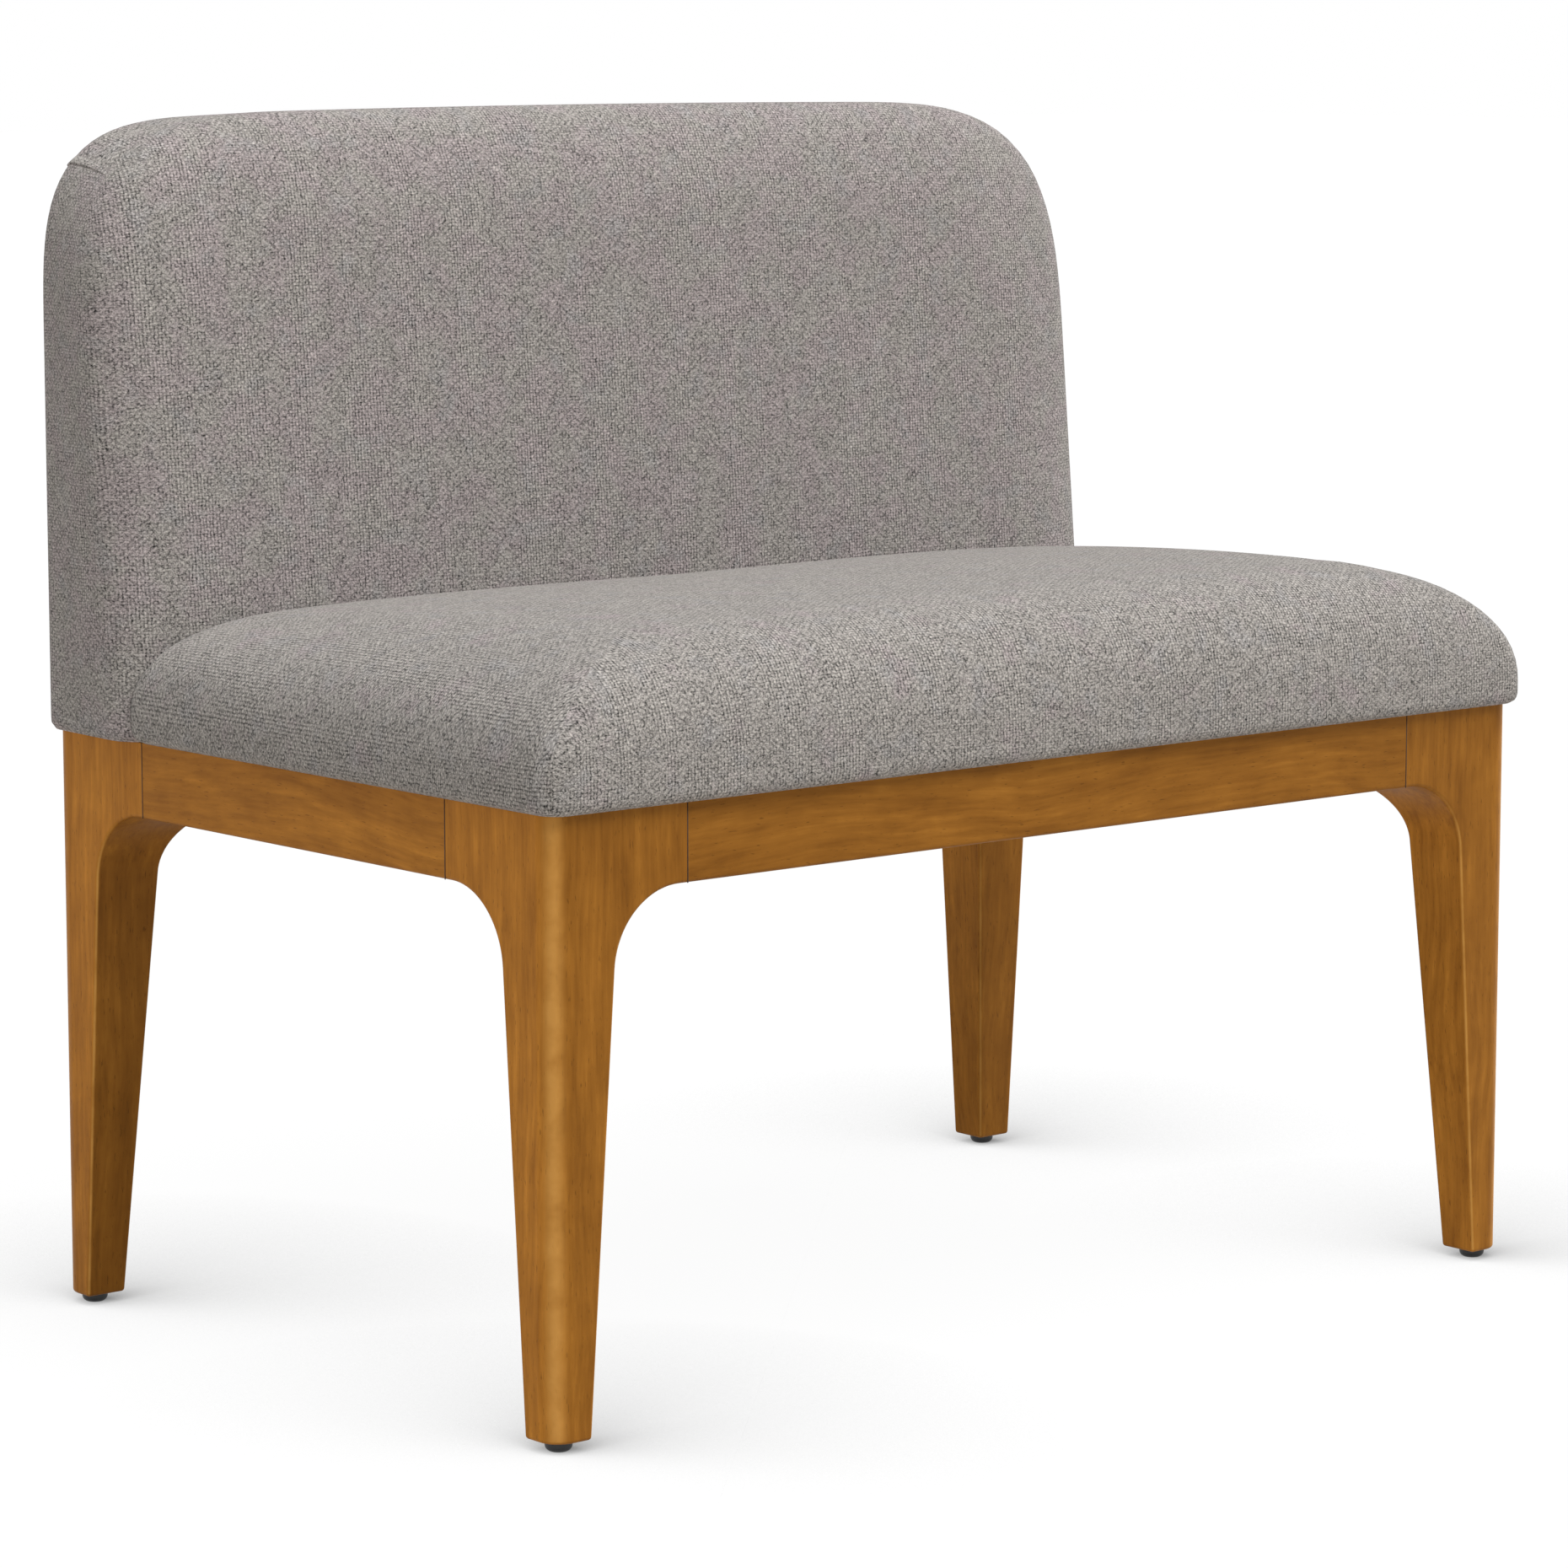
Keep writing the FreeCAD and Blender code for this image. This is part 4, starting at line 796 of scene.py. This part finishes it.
def back_upholstery(cover_cloth):
    """Inside back and its borders, drawn round to a narrow margin behind."""
    back = Cover(back_place, back_near, CORNER_FULLNESS, RING_STEPS + 1)
    for step in range(RING_STEPS + 1):
        turn = math.pi / 2 * (1 - step / RING_STEPS)
        drawn = 1 - max(0.0, math.cos(turn)) ** (2 / BACK_FULLNESS)
        depth = BACK_SWELL * (1 - math.sin(turn) ** (2 / BACK_FULLNESS))
        back.hoop(BACK_HALF - BACK_SHOULDER * drawn, BACK_TOP - TOP_SHOULDER * drawn,
                  FRONT_CORNER - SHOULDER_CORNER * drawn, back_bulge(depth))
    for step in range(1, BORDER_STEPS + 1):
        share = step / BORDER_STEPS
        back.hoop(BACK_HALF - SIDE_DRAW * share, BACK_TOP - TOP_DROP * share,
                  FRONT_CORNER + (REAR_CORNER - FRONT_CORNER) * share, back_side(share))
    for step in range(1, REAR_EDGE_STEPS + 1):
        turn = math.pi / 2 * step / REAR_EDGE_STEPS
        back.hoop(*rear_outline(BACK_REAR_EDGE * (1 - math.cos(turn))),
                  level(BACK_REAR - BACK_REAR_EDGE * (1 - math.sin(turn))))
    back.near = lambda x, height: FRAME_TOP + REAR_MARGIN
    back.hoop(*rear_outline(REAR_MARGIN - SEAM_GAP), level(BACK_REAR))
    back.hoop(*rear_outline(REAR_MARGIN), level(BACK_REAR - SEAM_DEPTH / 3))
    back.hoop(*rear_outline(REAR_MARGIN), level(BACK_REAR - SEAM_DEPTH))
    back.middle(-1, *rear_outline(REAR_MARGIN), level(BACK_REAR - SEAM_DEPTH))
    back.near = back_near
    back.middle(0, BACK_HALF - BACK_SHOULDER, BACK_TOP - TOP_SHOULDER, FRONT_CORNER - SHOULDER_CORNER,
                back_bulge(0.0))
    return back.piece("back_upholstery", cover_cloth)


def outside_panel(cover_cloth):
    """Outside back, sewn in along its edge and puffed a little."""
    start = REAR_MARGIN + SEAM_GAP
    panel = Cover(back_place, lambda x, height: FRAME_TOP + start, CORNER_FULLNESS)

    def puffed(x, z):
        rise = (z - FRAME_TOP) / (BACK_TOP - FRAME_TOP)
        return BACK_REAR + PANEL_PUFF * (1 - (x / BACK_HALF) ** 4) * math.sin(math.pi * rise)

    inside = rear_outline(start + PANEL_ROLL)
    panel.hoop(*inside, puffed)
    panel.hoop(*rear_outline(start + PANEL_ROLL / 3), level(BACK_REAR - SEAM_GAP / 3))
    panel.hoop(*rear_outline(start), level(BACK_REAR - PANEL_PUFF))
    panel.hoop(*rear_outline(start), level(BACK_REAR - SEAM_DEPTH))
    panel.middle(-1, *rear_outline(start), level(BACK_REAR - SEAM_DEPTH))
    panel.middle(0, *inside, puffed)
    return panel.piece("outside_panel", cover_cloth)


DUST_SAG = 0.004
DUST_STEPS = 48
DUST_TACKED_SIDES = 0.10
DUST_TACKED_ENDS = 0.15
DUST_EASE = 1.5


def dust_sheet():
    """Dust cloth tacked under the seat, hanging a little between the rails."""
    low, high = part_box("dust_cover")
    width = high[0] - low[0]
    depth = high[1] - low[1]
    points = []
    for row in range(DUST_STEPS + 1):
        for column in range(DUST_STEPS + 1):
            across = column / DUST_STEPS
            along = row / DUST_STEPS
            sideways = math.sin(math.pi * (across * (1 + 2 * DUST_TACKED_SIDES) - DUST_TACKED_SIDES))
            endways = math.sin(math.pi * (along * (1 + 2 * DUST_TACKED_ENDS) - DUST_TACKED_ENDS))
            slack = (max(0.0, sideways) * max(0.0, endways)) ** DUST_EASE
            points.append((low[0] + width * across, low[1] + depth * along, low[2] - DUST_SAG * slack))
    faces = []
    for row in range(DUST_STEPS):
        for column in range(DUST_STEPS):
            start = row * (DUST_STEPS + 1) + column
            faces.append((start, start + DUST_STEPS + 1, start + DUST_STEPS + 2, start + 1))
    weave = [[points[n][:2] for n in face] for face in faces]
    sheet = made_piece("dust_sheet", points, faces, weave, pressed_black())
    return sheet, (width, depth)


JOINT_WIDE = 0.0009
JOINT_PROUD = 0.00012


def joint_line(points, faces, middle, across, out):
    """Add a thin upright strip, closed all round, over the joint of an apron and a leg."""
    low, high = middle
    first = len(points)
    for z in (low, high):
        for along, deep in ((-1, -1), (1, -1), (1, 1), (-1, 1)):
            place = [0.0, 0.0, z[2]]
            for axis in range(2):
                place[axis] = z[axis] + across[axis] * along * JOINT_WIDE / 2 + out[axis] * deep * JOINT_PROUD
            points.append(place)
    faces += [[first + n for n in face] for face in
              ((0, 3, 2, 1), (4, 5, 6, 7), (0, 1, 5, 4), (1, 2, 6, 5), (2, 3, 7, 6), (3, 0, 4, 7))]


def joint_lines():
    """Glue lines that show where each apron meets a leg."""
    points, faces = [], []
    for name, along, out in (("apron_front", 0, (0, -1)), ("apron_rear", 0, (0, 1)),
                             ("apron_left", 1, (-1, 0)), ("apron_right", 1, (1, 0))):
        low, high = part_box(name)
        for end in (low, high):
            place = [0.0, 0.0]
            place[along] = end[along]
            place[1 - along] = (low if sum(out) < 0 else high)[1 - along]
            across = (1, 0) if along == 0 else (0, 1)
            joint_line(points, faces, ((*place, low[2]), (*place, high[2])), across, out)
    line = finish("joint_line")
    dust = line.noise(line.spot(), JOINT_DUST)
    colour = line.mixed(dust, *JOINT_TONES)
    line.surface(Base_Color=colour, Roughness=0.7)
    weave = [[points[n][:2] for n in face] for face in faces]
    return made_piece("joint_lines", points, faces, weave, line.owner)


# Padding pressed out under the covers
SLACK = 0.0005
SWELL_CAP = 0.002
SWELL_FADE = 0.045
SWELL_PRESSURE = 4.0
SWELL_FRAMES = 20
SWELL_QUALITY = 3


def swell(piece, held):
    """Let the padding press the cover out, from a shape drawn in a little.

    held(place) is 0 where the cover is fixed and 1 where it is free. The padding also keeps the cover from
    sinking in where it is pulled tight.
    """
    scene = bpy.context.scene
    mesh = piece.data
    free = [min(1.0, max(0.0, held(vertex.co))) for vertex in mesh.vertices]
    free = [share * share * (3 - 2 * share) for share in free]
    outward = [vertex.normal.copy() for vertex in mesh.vertices]
    start = [vertex.co - out * SLACK * share for vertex, out, share in zip(mesh.vertices, outward, free)]
    for vertex, place in zip(mesh.vertices, start):
        vertex.co = place
    pins = piece.vertex_groups.new(name="fixed")
    pins.add([n for n, share in enumerate(free) if share == 0.0], 1.0, "REPLACE")
    cloth = piece.modifiers.new("cover", "CLOTH")
    cloth.settings.vertex_group_mass = pins.name
    cloth.settings.quality = SWELL_QUALITY
    cloth.settings.use_pressure = True
    cloth.settings.uniform_pressure_force = SWELL_PRESSURE
    cloth.settings.effector_weights.gravity = 0.0
    cloth.collision_settings.use_collision = False
    for step in range(1, SWELL_FRAMES + 1):
        scene.frame_set(step)
    run = piece.evaluated_get(bpy.context.evaluated_depsgraph_get()).to_mesh()
    moved = [vertex.co.copy() for vertex in run.vertices]
    piece.modifiers.remove(cloth)
    piece.vertex_groups.remove(pins)
    scene.frame_set(1)
    for vertex, place, new, out, share in zip(mesh.vertices, start, moved, outward, free):
        move = new - place
        move -= out * min(0.0, move.dot(out))
        if move.length > SWELL_CAP * share:
            move = move.normalized() * SWELL_CAP * share
        vertex.co = place + move
    mesh.update()


def seat_held(place):
    """Share of the way from where the seat cover is fixed to where it is free to swell."""
    from_back = seat_rear(place.x, place.z) - CREASE_ROLL - place.y
    return min(place.z - SEAT_WIDEST, from_back) / SWELL_FADE


def back_held(place):
    """The same for the back cover, fixed at its rear edge and its foot."""
    return min(BACK_REAR - BACK_REAR_EDGE - place.y, place.z - FRAME_TOP - BACK_FOOT_ROUND) / SWELL_FADE


# Dart at each top corner of the back: rear end, bend and front end on the right-hand side, and its lap in
# section as the way up from the line and the height off the cover
DART_LINE = ((0.4290, 0.2790, 0.8028), (0.4225, 0.2550, 0.8000), (0.4185, 0.2375, 0.7915))
DART_STEPS = 18
DART_SECTION = ((-0.0003, -0.0009), (-0.0005, 0.0004), (0.0001, 0.0011), (0.0012, 0.0012), (0.0035, 0.0008),
                (0.0075, 0.0001), (0.0075, -0.0009))
DART_END = 0.25


def dart_fold(name, back, hand, cover_cloth):
    """Lap of cloth taken up at a top corner of the back, running forward from the rear edge and dying out."""
    mesh = back.data
    places = [vertex.co for vertex in mesh.vertices]
    surface = BVHTree.FromPolygons(places, [face.vertices for face in mesh.polygons])
    rear, bend, front = [Vector((hand * x, y, z)) for x, y, z in DART_LINE]
    line = []
    for step in range(DART_STEPS + 1):
        share = step / DART_STEPS
        guide = rear * (1 - share) ** 2 + bend * 2 * share * (1 - share) + front * share ** 2
        line.append(surface.find_nearest(guide)[0])
    points, laid = [], []
    run = 0.0
    for n, place in enumerate(line):
        before, after = line[max(n - 1, 0)], line[min(n + 1, DART_STEPS)]
        run += (place - before).length
        up = (after - before).normalized().cross(surface.find_nearest(place)[1])
        up *= math.copysign(1, up.z)
        left = 1 - (1 - DART_END) * (n / DART_STEPS) ** 2
        for offset, height in DART_SECTION:
            spot, out = surface.find_nearest(place + up * offset * left)[:2]
            points.append(spot + out * height * left)
            laid.append((run, offset))
    count = len(DART_SECTION)
    faces = [list(range(count)), list(range(DART_STEPS * count, (DART_STEPS + 1) * count))]
    for n in range(DART_STEPS):
        for m in range(count):
            turn = (m + 1) % count
            faces.append([n * count + m, n * count + turn, (n + 1) * count + turn, (n + 1) * count + m])
    return made_piece(name, points, faces, [[laid[n] for n in face] for face in faces], cover_cloth)


def dress_soft_parts():
    cover_cloth = woven_cover("back_cloth", BACK_OLIVE, BACK_TONE)
    seat = seat_upholstery(woven_cover("seat_cloth", SEAT_OLIVE, SEAT_TONE))
    swell(seat, seat_held)
    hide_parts("seat_cover", "seat_wadding", "seat_foam")
    back = back_upholstery(cover_cloth)
    swell(back, back_held)
    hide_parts("back_cover", "back_wadding", "back_foam")
    for piece in (seat, back):
        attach(piece, ROOT)
    for name, hand in (("dart_fold_left", -1), ("dart_fold_right", 1)):
        fold = dart_fold(name, back, hand, cover_cloth)
        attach(fold, ROOT)
    panel = outside_panel(cover_cloth)
    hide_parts("outside_back")
    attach(panel, ROOT)
    sheet, flat = dust_sheet()
    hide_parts("dust_cover")
    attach(sheet, ROOT)


# Studio
WHITE = (1.0, 1.0, 1.0, 1.0)
FLOOR_SIZE = 60.0
SKY = 0.36
LAMP = 3.4
LAMP_FROM = (0.14, -0.38, 0.91)
LAMP_SPREAD = math.radians(60)
FLOOR_BOUNCE = (0.60, 0.58, 0.55, 1.0)
FLOOR_SHADED = (0.05, 0.05, 0.05, 1.0)
FLOOR_GLOW = 0.955
CONTACT_REACH = 0.34
CONTACT_FROM = (-0.72, -0.36, 0.60)
CONTACT_SHADE = 1.0
CONTACT_SOFT = 0.8
CONTACT_SAMPLES = 8


def seen_directly(stage_finish):
    """1 on rays that show the backdrop itself, 0 on those that light the object."""
    straight = stage_finish.node("ShaderNodeLightPath", output="Is Camera Ray")
    mirrored = stage_finish.node("ShaderNodeLightPath", output="Is Glossy Ray")
    through = stage_finish.node("ShaderNodeLightPath", output="Is Transmission Ray")
    return straight.maths("MAXIMUM", straight.maths("MAXIMUM", straight, mirrored), through)


def studio():
    scene = bpy.context.scene
    scene.view_settings.view_transform = "Standard"

    sky = Finish(scene.world or bpy.data.worlds.new("studio"))
    scene.world = sky.owner
    light = sky.node("ShaderNodeBackground", None, {"Color": WHITE, "Strength": SKY})
    white = sky.node("ShaderNodeBackground", None, {"Color": WHITE, "Strength": 1.0})
    sky.finished("ShaderNodeOutputWorld", sky.either(seen_directly(sky), light, white))

    paint = finish("floor_white")
    lit = paint.node("ShaderNodeBsdfDiffuse", None, {"Color": FLOOR_BOUNCE})
    shade = paint.node("ShaderNodeBsdfDiffuse", None, {"Color": FLOOR_SHADED})
    # Painted shadow: the floor's glow is darkened by ambient occlusion looking toward CONTACT_FROM, so shade
    # gathers round the feet on one side
    side = paint.node("ShaderNodeCombineXYZ", None, dict(zip("XYZ", CONTACT_FROM)))
    open_sky = {"Distance": CONTACT_REACH, "Normal": side}
    near = 1 - paint.node("ShaderNodeAmbientOcclusion", {"samples": CONTACT_SAMPLES}, open_sky, "AO")
    seen = paint.grey(1 - CONTACT_SHADE * near.power(CONTACT_SOFT))
    glow = paint.node("ShaderNodeEmission", None, {"Color": seen, "Strength": FLOOR_GLOW})
    bright = paint.node("ShaderNodeAddShader", None, {0: shade, 1: glow})
    top = paint.either(seen_directly(paint), lit, bright)
    clear = paint.node("ShaderNodeBsdfTransparent")
    below = paint.node("ShaderNodeNewGeometry", output="Backfacing")
    paint.finished("ShaderNodeOutputMaterial", paint.either(below, top, clear))

    half = FLOOR_SIZE / 2
    corners = [(-half, -half, 0), (half, -half, 0), (half, half, 0), (-half, half, 0)]
    mesh = bpy.data.meshes.new("floor")
    mesh.from_pydata(corners, [], [(0, 1, 2, 3)])
    mesh.materials.append(paint.owner)
    floor = bpy.data.objects.new("floor", mesh)
    scene.collection.objects.link(floor)

    sun = bpy.data.lights.new("soft_key", "SUN")
    sun.energy = LAMP
    sun.angle = LAMP_SPREAD
    lamp = bpy.data.objects.new("soft_key", sun)
    lamp.rotation_euler = Vector(LAMP_FROM).to_track_quat("Z", "Y").to_euler()
    scene.collection.objects.link(lamp)

    lens = bpy.data.cameras.new("camera")
    lens.lens = LENS_MM
    lens.sensor_width = SENSOR_MM
    camera = bpy.data.objects.new("camera", lens)
    camera.location = CAMERA_AT
    camera.rotation_euler = (math.pi / 2 - CAMERA_PITCH, 0.0, CAMERA_YAW)
    scene.collection.objects.link(camera)
    scene.camera = camera


dress_nodes()
dress_soft_parts()
lines = joint_lines()
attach(lines, ROOT)
studio()
